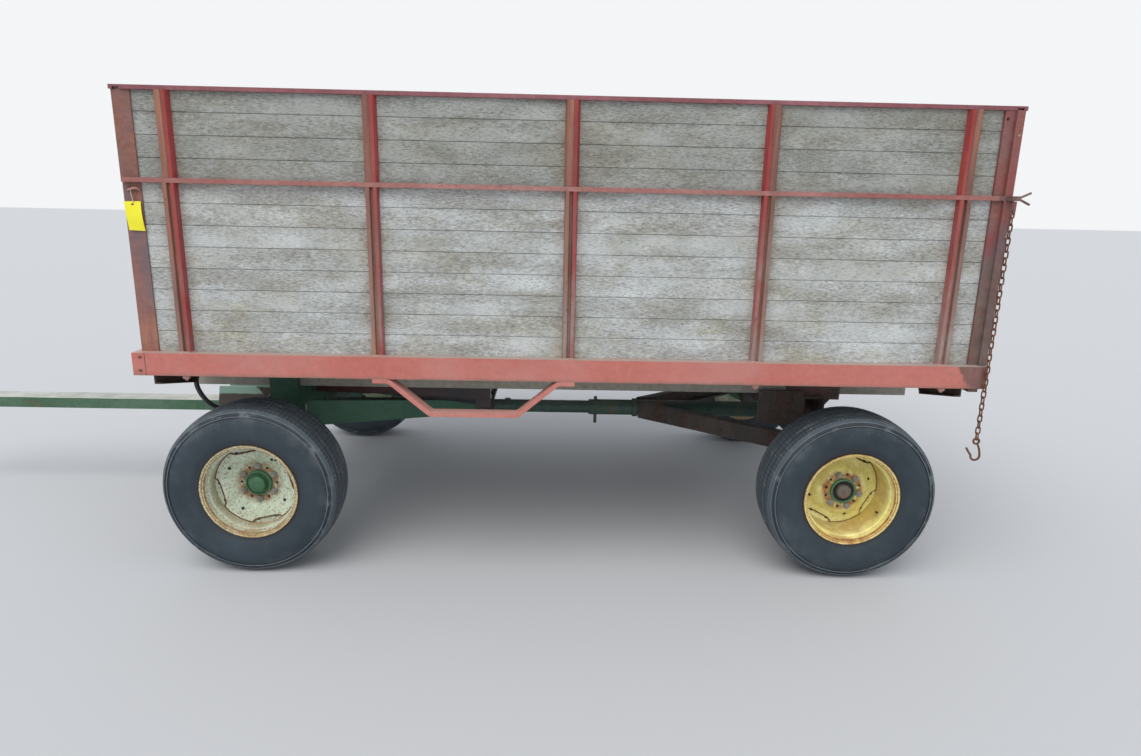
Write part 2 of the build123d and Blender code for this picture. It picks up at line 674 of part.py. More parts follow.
def end_member_face(lift, drop, tip):
    # Half of the deep end member, from its tip to the centre plane
    return Plane.YZ * make_face(
        Polyline(
            (0, FLOOR_BOTTOM - drop), (-WALL_Y + tip, FLOOR_BOTTOM - drop),
            (-WALL_Y + tip, CROSS_BOTTOM - 2 + lift),
            (-MAIN_SILL_Y - 225, END_MEMBER_LOW + lift), (-MAIN_SILL_Y - 185, CROSS_BOTTOM + lift),
            (0, CROSS_BOTTOM + lift), close=True,
        )
    )


end_member = extrude(end_member_face(0, 0, 1), amount=END_MEMBER_W)
end_hollow = extrude(end_member_face(CROSS_WALL + 1, CROSS_WALL, -1), amount=END_MEMBER_W)
end_member -= Pos(CROSS_WALL, 0, 0) * end_hollow
end_member += end_member.mirror(Plane.XZ)
members.append(Pos(SILL_X0 + SILL_LAP + 1, 0, 0) * end_member)
members.append(Pos(SILL_X1 - 67, 0, 0) * end_member.mirror(Plane.YZ))
LIFT_LUG_T = 14
lugs = []
for y in (-CYL_Y - 52, CYL_Y + 52):
    lug = plate_xz(
        [
            (HEAD_X - 20, HEAD_Z + PIN_R + 1), (HEAD_X - 40, HEAD_Z + 40), (HEAD_X - 40, FLOOR_BOTTOM),
            (HEAD_X + 80, FLOOR_BOTTOM), (HEAD_X + 80, HEAD_Z), (HEAD_X + 50, HEAD_Z - 30),
            (HEAD_X + PIN_R + 1, HEAD_Z - 20), (HEAD_X + PIN_R + 1, HEAD_Z + PIN_R + 1),
        ],
        y - LIFT_LUG_T / 2, y + LIFT_LUG_T / 2,
    )
    lugs.append(lug)
beam_y = MAIN_SILL_Y - MAIN_SILL_W
lift_beam = block(HEAD_X + 10, HEAD_X + 70, -beam_y, beam_y, 760, CROSS_BOTTOM)
joined = members[0]
for member in members[1:]:
    joined += member
joined += lift_beam
for lug in lugs:
    joined -= lug
save("cross_members", joined)
save("lift_lugs", lugs)

# Floor
floor_y = INNER_Y - 1
save("floor", block(SILL_X0 + SILL_LAP, SILL_X1 - 27, -floor_y, floor_y, FLOOR_BOTTOM, FLOOR_TOP))

# Side sills: formed channels with a ledge outside the boards
sill = block(SILL_X0 + SILL_LAP, SILL_X1, -BOX_HALF_W, -INNER_Y, SILL_TOP - SILL_H, SILL_TOP)
sill -= block(
    SILL_X0, SILL_X1 + 1, -BOX_HALF_W + SILL_WALL, 0, SILL_TOP - SILL_H + SILL_WALL, SILL_TOP - SILL_WALL
)
sill -= block(SILL_X0, SILL_X1 + 1, -WALL_Y, 0, SILL_TOP - SILL_H - 1, SILL_TOP - SILL_WALL)
save("side_sills", both(sill))

front_sill = block(SILL_X0, SILL_X0 + SILL_LAP, -BOX_HALF_W, BOX_HALF_W, SILL_TOP - SILL_H, SILL_TOP)
front_sill -= block(
    SILL_X0 + SILL_WALL, 0, -BOX_HALF_W + SILL_WALL, BOX_HALF_W - SILL_WALL,
    SILL_TOP - SILL_H + SILL_WALL, SILL_TOP - SILL_WALL,
)
rear_sill = block(SILL_X1 - 40, SILL_X1, -WALL_Y + 1, WALL_Y - 1, CROSS_BOTTOM + 20, FLOOR_BOTTOM)
rear_sill += block(SILL_X1 - SILL_WALL, SILL_X1, -WALL_Y + 1, WALL_Y - 1, CROSS_BOTTOM + 20, FLOOR_TOP)
rear_sill += block(SILL_X1 - 24, SILL_X1, -WALL_Y + 1, WALL_Y - 1, FLOOR_BOTTOM, FLOOR_TOP)
save("end_sills", [front_sill, rear_sill])


# Board walls: tongue and groove boards with a grooved line at each joint
def wall_lines(first, last):
    return [SILL_TOP + row * BOARD_FACE for row in range(first + 1, last)]


def side_wall():
    wall = block(WALL_X0, WALL_X1, -WALL_Y, -INNER_Y, SILL_TOP, BOARD_TOP)
    for z in wall_lines(0, LOW_BOARD_COUNT + HIGH_BOARD_COUNT):
        wall -= block(WALL_X0 - 1, WALL_X1 + 1, -WALL_Y - 1, -WALL_Y + GROOVE, z - 1.5, z + 1.5)
    return wall


save("side_boards", both(side_wall()))

end_y = INNER_Y - 0.5
front_wall = block(WALL_X0, WALL_X0 + BOARD_T, -end_y, end_y, SILL_TOP, BOARD_TOP)
for z in wall_lines(0, LOW_BOARD_COUNT + HIGH_BOARD_COUNT):
    front_wall -= block(WALL_X0 - 1, WALL_X0 + GROOVE, -end_y - 1, end_y + 1, z - 1.5, z + 1.5)
save("front_boards", front_wall)

rear_wall = block(WALL_X1 - BOARD_T, WALL_X1, -end_y, end_y, RAIL_Z + 4, BOARD_TOP)
for z in wall_lines(LOW_BOARD_COUNT, LOW_BOARD_COUNT + HIGH_BOARD_COUNT):
    rear_wall -= block(WALL_X1 - GROOVE, WALL_X1 + 1, -end_y - 1, end_y + 1, z - 1.5, z + 1.5)
save("rear_boards", rear_wall)


# Stakes, drawn in plan against y = 0 and standing out towards -Y
def low_stake():
    half = LOW_STAKE_W / 2
    deep = STAKE_DEPTH
    outer = [
        (-half, 0), (-half + 4, -deep), (-7, -deep), (-4, -deep + 12), (4, -deep + 12), (7, -deep),
        (half - 4, -deep), (half, 0),
    ]
    t = STAKE_WALL
    inner = [
        (-half + t, 1), (-half + 4 + t, -deep + t), (-7 - t, -deep + t), (-4 - t, -deep + 12 + t),
        (4 + t, -deep + 12 + t), (7 + t, -deep + t), (half - 4 - t, -deep + t), (half - t, 1),
    ]
    return prism_z(outer, SILL_TOP, RAIL_Z - RAIL_H / 2) - prism_z(inner, SILL_TOP - 1, RAIL_Z)


def high_stake():
    half = HIGH_STAKE_W / 2
    deep = STAKE_DEPTH - 3
    t = STAKE_WALL
    outer = [(-half, 0), (-half + 9, -deep), (half - 9, -deep), (half, 0)]
    inner = [(-half + t, 1), (-half + 9 + t, -deep + t), (half - 9 - t, -deep + t), (half - t, 1)]
    return prism_z(outer, RAIL_Z + RAIL_H / 2, BOARD_TOP - CAP_DROP) - prism_z(inner, RAIL_Z, BOARD_TOP)


side_stakes = []
for step in range(-2, 3):
    for shape in (low_stake(), high_stake()):
        side_stakes.extend(both(Pos(step * STAKE_PITCH, -WALL_Y, 0) * shape))
save("side_stakes", side_stakes)

end_stakes = []
for step in (-1, 0, 1):
    for shape in (low_stake(), high_stake()):
        end_stakes.append(Pos(WALL_X0, step * END_STAKE_PITCH, 0) * Rot(0, 0, -90) * shape)
    end_stakes.append(Pos(WALL_X1, step * END_STAKE_PITCH, 0) * Rot(0, 0, 90) * high_stake())
save("end_stakes", end_stakes)

# Corner posts: angles in front, flats with a rib behind
front_post = block(
    WALL_X0 - POST_T, WALL_X0 - POST_T + POST_W, -WALL_Y - POST_T, -WALL_Y, SILL_TOP, RAIL_Z - RAIL_H / 2
)
front_post += block(
    WALL_X0 - POST_T, WALL_X0, -WALL_Y - POST_T, -WALL_Y + POST_W, SILL_TOP, RAIL_Z - RAIL_H / 2
)
upper = block(
    WALL_X0 - POST_T - POST_STEP, WALL_X0 - POST_T - POST_STEP + POST_W, -WALL_Y - POST_T, -WALL_Y,
    RAIL_Z + RAIL_H / 2, BOARD_TOP - CAP_DROP,
)
upper += block(
    WALL_X0 - POST_T - POST_STEP, WALL_X0, -WALL_Y - POST_T, -WALL_Y + POST_W,
    RAIL_Z + RAIL_H / 2, BOARD_TOP - CAP_DROP,
)


def rear_corner(z0, z1):
    flat = block(WALL_X1 - REAR_POST_W, WALL_X1, -WALL_Y - REAR_POST_T, -WALL_Y, z0, z1)
    return flat + block(WALL_X1 - REAR_RIB_W, WALL_X1, -WALL_Y - STAKE_DEPTH, -WALL_Y, z0, z1)


rear_post = rear_corner(SILL_TOP, RAIL_Z - RAIL_H / 2)
rear_upper = rear_corner(RAIL_Z + RAIL_H / 2, BOARD_TOP - CAP_DROP)
posts = []
for shape in (front_post, upper, rear_post, rear_upper):
    posts.extend(both(shape))
save("corner_posts", posts)


# Rails: four angles round the box at the joint of the boards, four caps on top.
# Those of the ends stop short of the corner posts.
RAIL_Y_OUT = WALL_Y + STAKE_DEPTH
RAIL_X0 = WALL_X0 - STAKE_DEPTH
RAIL_X1 = WALL_X1 + STAKE_DEPTH - 8
RAIL_T = 5
RAIL_Z0 = RAIL_Z - RAIL_H / 2
RAIL_Z1 = RAIL_Z + RAIL_H / 2
BUTT_GAP = 1
END_RAIL_Y = WALL_Y - 90

side_rail = block(WALL_X0 + BUTT_GAP, WALL_X1 - BUTT_GAP, -RAIL_Y_OUT, -WALL_Y, RAIL_Z0, RAIL_Z1)
side_rail -= block(
    WALL_X0, WALL_X1, -RAIL_Y_OUT + RAIL_T, -WALL_Y + 1, RAIL_Z0 + RAIL_T, RAIL_Z1 + 1
)
front_rail = block(RAIL_X0, WALL_X0, -END_RAIL_Y, END_RAIL_Y, RAIL_Z0, RAIL_Z1)
front_rail -= block(RAIL_X0 + RAIL_T, WALL_X0 + 1, -FAR, FAR, RAIL_Z0 + RAIL_T, RAIL_Z1 + 1)
rear_rail = block(WALL_X1, RAIL_X1, -END_RAIL_Y, END_RAIL_Y, RAIL_Z0, RAIL_Z1)
rear_rail -= block(WALL_X1 - 1, RAIL_X1 - RAIL_T, -FAR, FAR, RAIL_Z0 + RAIL_T, RAIL_Z1 + 1)

# Empty fork and the chain's eye, both on the left side rail's rear end
FORK_X = SILL_X1 + 9
FORK_W = 9
EYE_BAR = 6
EYE_Y = 8
fork = block(FORK_X - 30, FORK_X, CHAIN_Y - FORK_W / 2, -RAIL_Y_OUT, RAIL_Z0, RAIL_Z1)
for rise in (-1, 1):
    tine = Pos(26, 0, 0) * Rot(0, 90, 0) * Cylinder(FORK_W / 2, 52)
    fork += Pos(FORK_X - 6, CHAIN_Y, RAIL_Z) * Rot(0, -rise * 25, 0) * tine
hook_z = CHAIN_TOP + LINK_HALF - 0.3
eye_x0 = CHAIN_X - EYE_BAR / 2
eye_x1 = CHAIN_X + EYE_BAR / 2
fork += block(eye_x0, eye_x1, CHAIN_Y - EYE_Y - 3, CHAIN_Y + EYE_Y + 3, hook_z - EYE_BAR, hook_z)
fork += block(eye_x0, eye_x1, CHAIN_Y + EYE_Y - 3, CHAIN_Y + EYE_Y + 3, hook_z - EYE_BAR, RAIL_Z)
fork += block(eye_x0, eye_x1, CHAIN_Y - EYE_Y - 3, CHAIN_Y - EYE_Y + 3, hook_z - EYE_BAR, hook_z + 10)
save("tie_rail", [side_rail + fork, side_rail.mirror(Plane.XZ), front_rail, rear_rail])


def cap_bar(length):
    # Runs along X over a board whose outer face is at y = 0
    bar = block(0, length, -CAP_OUT, BOARD_T + 2, BOARD_TOP - CAP_DROP, BOARD_TOP + CAP_T)
    bar -= block(-1, length + 1, 0, BOARD_T, 0, BOARD_TOP)
    return bar - block(-1, length + 1, BOARD_T - 1, BOARD_T + 3, 0, BOARD_TOP)


side_cap = Pos(WALL_X0 + BOARD_T + 3, -WALL_Y, 0) * cap_bar(WALL_X1 - WALL_X0 - 2 * BOARD_T - 6)
full = 2 * (WALL_Y + CAP_OUT)
front_cap = Pos(WALL_X0, WALL_Y + CAP_OUT, 0) * Rot(0, 0, -90) * cap_bar(full)
rear_cap = Pos(WALL_X1, -WALL_Y - CAP_OUT, 0) * Rot(0, 0, 90) * cap_bar(full)
corner_cut = block(-FAR, FAR, -WALL_Y, WALL_Y, 0, BOARD_TOP)
save("top_rail", [side_cap, side_cap.mirror(Plane.XZ), front_cap - corner_cut, rear_cap - corner_cut])

# Step under the left sill
STEP_PATH = [(-790, 879), (-725, 879), (-560, 742), (-205, 742), (-40, 879), (28, 879)]
path = FilletPolyline(*[(x, 0, z) for x, z in STEP_PATH], radius=30)
step_face = Plane(path @ 0, x_dir=(0, 1, 0), z_dir=path % 0) * Rectangle(STEP_DEPTH, STEP_T)
step_bar = Pos(0, -BOX_HALF_W + STEP_DEPTH / 2, 0) * sweep(step_face, path)
save("step", step_bar)

# Gate: hung on a rod at its top, boards and hat stiffeners
gate_x0 = WALL_X1 - BOARD_T
gate = block(gate_x0, WALL_X1, -GATE_Y, GATE_Y, FLOOR_TOP + GATE_CLEAR, RAIL_Z - 40)
for z in wall_lines(0, LOW_BOARD_COUNT - 1):
    gate -= block(WALL_X1 - GROOVE, WALL_X1 + 1, -GATE_Y - 1, GATE_Y + 1, z - 1.5, z + 1.5)
save("gate_boards", gate)

gate_frame = rod_y(GATE_PIN_X, GATE_PIN_Z, -WALL_Y, WALL_Y, GATE_PIN_R)
for part in (-1, -0.5, 0, 0.5, 1):
    y = part * (GATE_Y - 71)
    gate_frame += block(WALL_X1, WALL_X1 + 30, y - 28, y + 28, FLOOR_TOP + 30, GATE_PIN_Z - 4)
gate_frame += block(WALL_X1, WALL_X1 + 30, -GATE_Y, GATE_Y, FLOOR_TOP + 20, FLOOR_TOP + 60)
gate_frame += block(WALL_X1, WALL_X1 + 30, -GATE_Y, GATE_Y, RAIL_Z - 90, RAIL_Z - 50)
save("gate_frame", gate_frame)

# Ears that hold the gate rod, on plates across the ends of the side walls
EAR_T = 12
PAD_T = 6


def gate_ear():
    pad_x1 = WALL_X1 + PAD_T
    ear = block(WALL_X1, pad_x1, -WALL_Y - STAKE_DEPTH, -INNER_Y, GATE_PIN_Z - 90, RAIL_Z - RAIL_H / 2)
    ear += plate_xz(
        [
            (pad_x1 - 1, GATE_PIN_Z - 70), (pad_x1 - 1, GATE_PIN_Z + 20), (GATE_PIN_X + 22, GATE_PIN_Z + 20),
            (GATE_PIN_X + 22, GATE_PIN_Z - 20),
        ],
        -WALL_Y + 4, -WALL_Y + 4 + EAR_T,
    )
    return ear - rod_y(GATE_PIN_X, GATE_PIN_Z, -WALL_Y - 60, -INNER_Y + 1, GATE_PIN_R + RUN_GAP)


save("gate_ears", both(gate_ear()))


# Hose loop under the front of the bed, between two glands
GLAND_L = 24
GLAND_R = 17
HOSE_ROUTE = [
    (-1722, -600, SILL_TOP - SILL_H - GLAND_L), (-1722, -600, 800), (-1752, -600, 728), (-1700, -596, 628),
    (-1625, -566, 586), (-1530, -496, 582), (-1452, -424, 618), (-1445, -400, 720),
    (-1445, -400, CROSS_BOTTOM - GLAND_L),
]


def hose_radii(points):
    vectors = [Vector(*b) - Vector(*a) for a, b in zip(points, points[1:])]
    radii = []
    for before, after in zip(vectors, vectors[1:]):
        turn = math.radians(before.get_angle(after))
        radii.append(0.45 * min(before.length, after.length) / math.tan(turn / 2))
    return radii


radii = hose_radii(HOSE_ROUTE)
hose_path = FilletPolyline(*HOSE_ROUTE, radius=radii)
hose_face = Plane(hose_path @ 0, z_dir=hose_path % 0) * Circle(HOSE_R)
hose = sweep(hose_face, hose_path)
print("hose length", round(hose_path.length))
save("hose", hose)
glands = [
    rod_z(HOSE_ROUTE[0][0], HOSE_ROUTE[0][1], HOSE_ROUTE[0][2], HOSE_ROUTE[0][2] + GLAND_L, GLAND_R),
    rod_z(HOSE_ROUTE[-1][0], HOSE_ROUTE[-1][1], HOSE_ROUTE[-1][2], HOSE_ROUTE[-1][2] + GLAND_L, GLAND_R),
]
save("hose_glands", glands)

# Chain hanging from the rear corner, with an S hook at its end


def link():
    wire = CHAIN_WIRE
    end = LINK_HALF + wire
    top = LINK_W - 5
    outer = [(-top, end), (top, end), (LINK_W, 0), (top, -end), (-top, -end), (-LINK_W, 0)]
    face = make_face(Polyline(*outer, close=True)) - Rectangle(2 * (LINK_W - wire) - 1, 2 * LINK_HALF)
    return Rot(90, 0, 0) * extrude(face, amount=wire / 2, both=True)


def flat_arc(centre_x, centre_z, turns):
    # Flat bar bent round a centre, by the angles of its corners
    inner = HOOK_R - HOOK_WIRE
    outer = HOOK_R + HOOK_WIRE
    points = []
    for r, angles in ((outer, turns), (inner, reversed(turns))):
        for angle in angles:
            turn = math.radians(angle)
            points.append((centre_x + r * math.cos(turn), centre_z + r * math.sin(turn)))
    return plate_xz(points, CHAIN_Y - HOOK_WIRE, CHAIN_Y + HOOK_WIRE)


chain = []
for number in range(CHAIN_LINKS):
    turn = 90 * (number % 2)
    chain.append(Pos(CHAIN_X, CHAIN_Y, CHAIN_TOP - number * LINK_SPACING) * Rot(0, 0, turn) * link())
last_z = CHAIN_TOP - (CHAIN_LINKS - 1) * LINK_SPACING
eye_z = last_z - LINK_HALF + 0.4 + HOOK_WIRE - HOOK_R
bend_z = eye_z - HOOK_DROP
bend_x = CHAIN_X - HOOK_R
hook = flat_arc(CHAIN_X, eye_z, [-90, -30, 30, 90, 150, 210])
hook += plate_xz(
    [
        (CHAIN_X - 2, eye_z - HOOK_R - HOOK_WIRE), (CHAIN_X + 3, eye_z - HOOK_R + HOOK_WIRE),
        (bend_x + HOOK_R + HOOK_WIRE, bend_z), (bend_x + HOOK_R - HOOK_WIRE, bend_z),
    ],
    CHAIN_Y - HOOK_WIRE, CHAIN_Y + HOOK_WIRE,
)
hook += flat_arc(bend_x, bend_z, [10, -30, -80, -130, -180])
hook += plate_xz(
    [
        (bend_x - HOOK_R - HOOK_WIRE, bend_z + 1), (bend_x - HOOK_R + HOOK_WIRE, bend_z - 1),
        (bend_x - HOOK_R - 8, bend_z + 22), (bend_x - HOOK_R - 14, bend_z + 20),
    ],
    CHAIN_Y - HOOK_WIRE, CHAIN_Y + HOOK_WIRE,
)
chain.append(hook)
save("gate_chain", chain)
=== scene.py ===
import math
import random

import bpy
from mathutils import Matrix, Vector


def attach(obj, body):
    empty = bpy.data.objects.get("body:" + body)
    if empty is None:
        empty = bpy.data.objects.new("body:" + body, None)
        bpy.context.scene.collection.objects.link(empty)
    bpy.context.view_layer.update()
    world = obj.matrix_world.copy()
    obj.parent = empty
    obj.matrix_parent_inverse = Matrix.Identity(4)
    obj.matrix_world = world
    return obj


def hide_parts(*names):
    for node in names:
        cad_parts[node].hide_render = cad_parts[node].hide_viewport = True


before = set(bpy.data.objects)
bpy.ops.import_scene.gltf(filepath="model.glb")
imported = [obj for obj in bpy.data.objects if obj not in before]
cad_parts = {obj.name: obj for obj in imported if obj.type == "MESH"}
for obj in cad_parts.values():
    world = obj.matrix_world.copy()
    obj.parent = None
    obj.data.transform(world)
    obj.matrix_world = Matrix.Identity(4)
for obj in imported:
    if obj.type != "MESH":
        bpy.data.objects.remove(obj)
scene = bpy.context.scene
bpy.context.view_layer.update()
random.seed(7)

# Sizes, in metres. X is drawn from the middle of the box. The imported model's X starts under the middle of
# the whole wagon, SHIFT ahead of that, so packed x is drawn x plus SHIFT.
SHIFT = 0.916
FRONT_AXLE_X = -1.345
REAR_AXLE_X = 1.24
HALF_TRACK = 0.945
HUB_Z = 0.372
SILL_TOP = 0.98
SILL_BOTTOM = 0.888
SILL_FACE = 1.1
WALL_Y = 1.05
STAKE_PITCH = 0.769
STAKE_DEPTH = 0.026
BOARD_W = 0.0835
FLOOR_BOARD_W = 0.14
WHEELS = [
    # name, x, side, rim material, kind of hub and dish, turn in radians
    ("front_left", FRONT_AXLE_X, -1, "cream", "green", -0.227),
    ("front_right", FRONT_AXLE_X, 1, "cream", "green", 1.1),
    ("rear_left", REAR_AXLE_X, -1, "yellow", "capped", 0.489),
    ("rear_right", REAR_AXLE_X, 1, "cream", "capped", 2.0),
]


def end_of(x):
    return "front" if x < 0 else "rear"


# Shader nodes
class Nodes:
    """A material's node tree, with one short call for each kind of node."""

    def __init__(self, name, roughness, metallic=0.0):
        self.material = bpy.data.materials.new(name)
        self.material.use_nodes = True
        self.tree = self.material.node_tree
        self.shader = self.tree.nodes["Principled BSDF"]
        self.shader.inputs["Roughness"].default_value = roughness
        self.shader.inputs["Metallic"].default_value = metallic
        self.colour = None
        held = self.add("ShaderNodeTexCoord", "Object")
        self.where = self.add("ShaderNodeVectorMath", 0, {0: held, 1: (-SHIFT, 0, 0)}, operation="ADD")

    def add(self, kind, output=0, inputs=None, **settings):
        node = self.tree.nodes.new(kind)
        for key, value in settings.items():
            setattr(node, key, value)
        for key, value in (inputs or {}).items():
            socket = node.inputs[key]
            if isinstance(value, bpy.types.NodeSocket):
                self.tree.links.new(value, socket)
            else:
                socket.default_value = value
        return node.outputs[output]

    def scaled(self, scale, move=(0, 0, 0), source=None):
        return self.add(
            "ShaderNodeMapping", inputs={"Vector": source or self.where, "Scale": scale, "Location": move},
        )

    def noise(self, scale, stretch=(1, 1, 1), detail=5, rough=0.6, distort=0.0, move=(0, 0, 0), source=None):
        vector = self.scaled(stretch, move, source)
        return self.add(
            "ShaderNodeTexNoise", "Fac",
            {"Vector": vector, "Scale": scale, "Detail": detail, "Roughness": rough, "Distortion": distort},
        )

    def math(self, operation, a, b=0.0):
        return self.add("ShaderNodeMath", 0, {0: a, 1: b}, operation=operation)

    def times(self, a, b):
        return self.math("MULTIPLY", a, b)

    def plus(self, a, b):
        return self.math("ADD", a, b)

    def minus(self, a, b):
        return self.math("SUBTRACT", a, b)

    def sway(self, amount, scale, **noise):
        """Noise about zero, to make an edge wander."""
        return self.times(self.minus(self.noise(scale, **noise), 0.5), amount)

    def cloudy(self, scale, *stops, **noise):
        """Noise laid out over the stops of a ramp."""
        return self.ramp(self.noise(scale, **noise), *stops)

    def relief(self, mask, high, grain):
        """Height of a mask over a fine grain."""
        return self.plus(self.times(mask, high), self.times(self.noise(140, detail=3), grain))

    def patchy(self, mask, low, high, scale, **noise):
        """A mask broken up by noise between the two stops."""
        return self.times(mask, self.cloudy(scale, low, high, **noise))

    def ramp(self, fac, *stops):
        node = self.tree.nodes.new("ShaderNodeValToRGB")
        self.tree.links.new(fac, node.inputs["Fac"])
        ramp = node.color_ramp
        while len(ramp.elements) < len(stops):
            ramp.elements.new(0.5)
        for element, (place, value) in zip(ramp.elements, stops):
            element.position = place
            element.color = (*value, 1) if isinstance(value, tuple) else (value, value, value, 1)
        return node.outputs["Color"]

    def band(self, value, start, *stops):
        """A ramp whose stops lie in the 0.1 m after start, stretched tenfold to keep narrow lines sharp."""
        stretched = self.times(self.minus(value, start), 10.0)
        return self.ramp(stretched, *((10 * (place - start), colour) for place, colour in stops))

    def mix(self, fac, a, b, blend="MIX"):
        a, b = ((*value, 1) if isinstance(value, tuple) else value for value in (a, b))
        return self.add("ShaderNodeMix", 2, {0: fac, 6: a, 7: b}, data_type="RGBA", blend_type=blend)

    def lay(self, mask, value, blend="MIX"):
        """Lays a colour over what is there, where the mask is set."""
        self.colour = self.mix(mask, self.colour, value, blend)

    def tint(self, mask, by):
        """Multiplies what is there by a colour, where the mask is set."""
        self.lay(mask, self.mix(1.0, self.colour, by, "MULTIPLY"))

    def axis(self, letter, source=None):
        return self.add("ShaderNodeSeparateXYZ", letter, {"Vector": source or self.where})

    def behind(self, x):
        """1 further back than x, 0 ahead of it."""
        return self.math("GREATER_THAN", self.axis("X"), x)

    def facing_up(self):
        return self.axis("Z", self.add("ShaderNodeNewGeometry", "Normal"))

    def finish(self, roughness=None, height=None, depth=0.001, bevel=0.0):
        self.tree.links.new(self.colour, self.shader.inputs["Base Color"])
        if roughness is not None:
            self.tree.links.new(roughness, self.shader.inputs["Roughness"])
        normal = None
        if bevel:
            normal = self.add("ShaderNodeBevel", 0, {"Radius": bevel}, samples=3)
        if height is not None:
            inputs = {"Height": height, "Distance": depth, "Strength": 1.0}
            if normal is not None:
                inputs["Normal"] = normal
            normal = self.add("ShaderNodeBump", 0, inputs)
        if normal is not None:
            self.tree.links.new(normal, self.shader.inputs["Normal"])
        return self.material


RUST_DARK = (0.085, 0.032, 0.017)
RUST_MID = (0.22, 0.075, 0.028)
RUST_LIGHT = (0.42, 0.16, 0.055)


def worn_paint(
    name, base, faded, rust=0.4, scale=7.0, streak=(1, 1, 0.18), dust=0.0, dust_tone=(0.36, 0.33, 0.29),
    chips=0.5, rusts=(RUST_DARK, RUST_MID, RUST_LIGHT), bevel=0.0025, roughness=0.55, mottle=0.22, extra=None,
):
    """Old paint: faded in patches, chipped, with rust running down and dust lying on top (a painted highlight
    on the plate).
    """
    n = Nodes(name, roughness)
    fade = n.cloudy(2.3, (0.38, 0.0), (0.66, 1.0), detail=4)
    n.colour = n.mix(fade, base, faded)
    mottled = n.cloudy(38, (0.3, 1 - 1.2 * mottle), (0.7, 1 + 0.8 * mottle), detail=6, rough=0.7)
    n.lay(1.0, mottled, "MULTIPLY")
    if extra is not None:
        extra(n)
    runs = n.noise(scale, stretch=streak, detail=9, rough=0.72)
    spots = n.noise(scale * 9, detail=6, rough=0.75)
    both = n.plus(n.times(runs, 0.72), n.times(spots, 0.28))
    edge = 0.64 - 0.26 * rust
    mask = n.ramp(both, (edge, 0.0), (edge + 0.07, 1.0))
    rust_colour = n.cloudy(55, (0.3, rusts[0]), (0.5, rusts[1]), (0.72, rusts[2]), detail=7, rough=0.75)
    n.lay(mask, rust_colour)
    if chips:
        chip = n.cloudy(95, (0.69, 0.0), (0.72, chips), detail=3)
        n.lay(chip, RUST_DARK)
    # Upward faces take the top tone: dust on most parts, a painted highlight on the steering plate.
    if dust:
        up = n.ramp(n.facing_up(), (0.55, 0.0), (0.95, dust))
        patchy = n.patchy(up, (0.25, 0.45), (0.6, 1.0), 9)
        n.lay(patchy, dust_tone)
    rough = n.mix(mask, n.cloudy(14, (0.3, roughness - 0.1), (0.7, roughness + 0.12)), (0.9, 0.9, 0.9))
    height = n.relief(mask, 0.4, 0.5)
    return n.finish(rough, height, 0.0012, bevel)


def sill_marks(n):
    """Pale rubbed patches on the sill's face, brown dirt along its lower edge and a bare rear end."""
    pale = n.cloudy(4.2, (0.5, 0.0), (0.7, 0.55), stretch=(0.6, 1, 1), move=(5, 0, 0))
    n.lay(pale, (0.53, 0.255, 0.225))
    low = n.band(n.axis("Z"), SILL_BOTTOM, (0.891, 0.85), (0.902, 0.0))
    low = n.patchy(low, (0.35, 0.2), (0.6, 1.0), 14)
    n.lay(low, (0.27, 0.15, 0.115))
    wander = n.sway(0.14, 11, detail=7, rough=0.7)
    slant = n.times(n.minus(n.axis("Z"), SILL_BOTTOM), 0.3)
    rear = n.plus(n.plus(n.axis("X"), wander), slant)
    bare = n.ramp(n.minus(rear, 1.0), (0.625, 0.0), (0.64, 0.85), (0.745, 0.85), (0.765, 0.25))
    n.lay(bare, n.cloudy(30, (0.3, (0.115, 0.062, 0.052)), (0.7, (0.205, 0.115, 0.095)), detail=6))


def stake_offset(n):
    """How far a point is from the middle line of its stake, in metres."""
    place = n.math("FRACT", n.plus(n.math("DIVIDE", n.axis("X"), STAKE_PITCH), 0.5))
    return n.times(n.minus(place, 0.5), STAKE_PITCH)


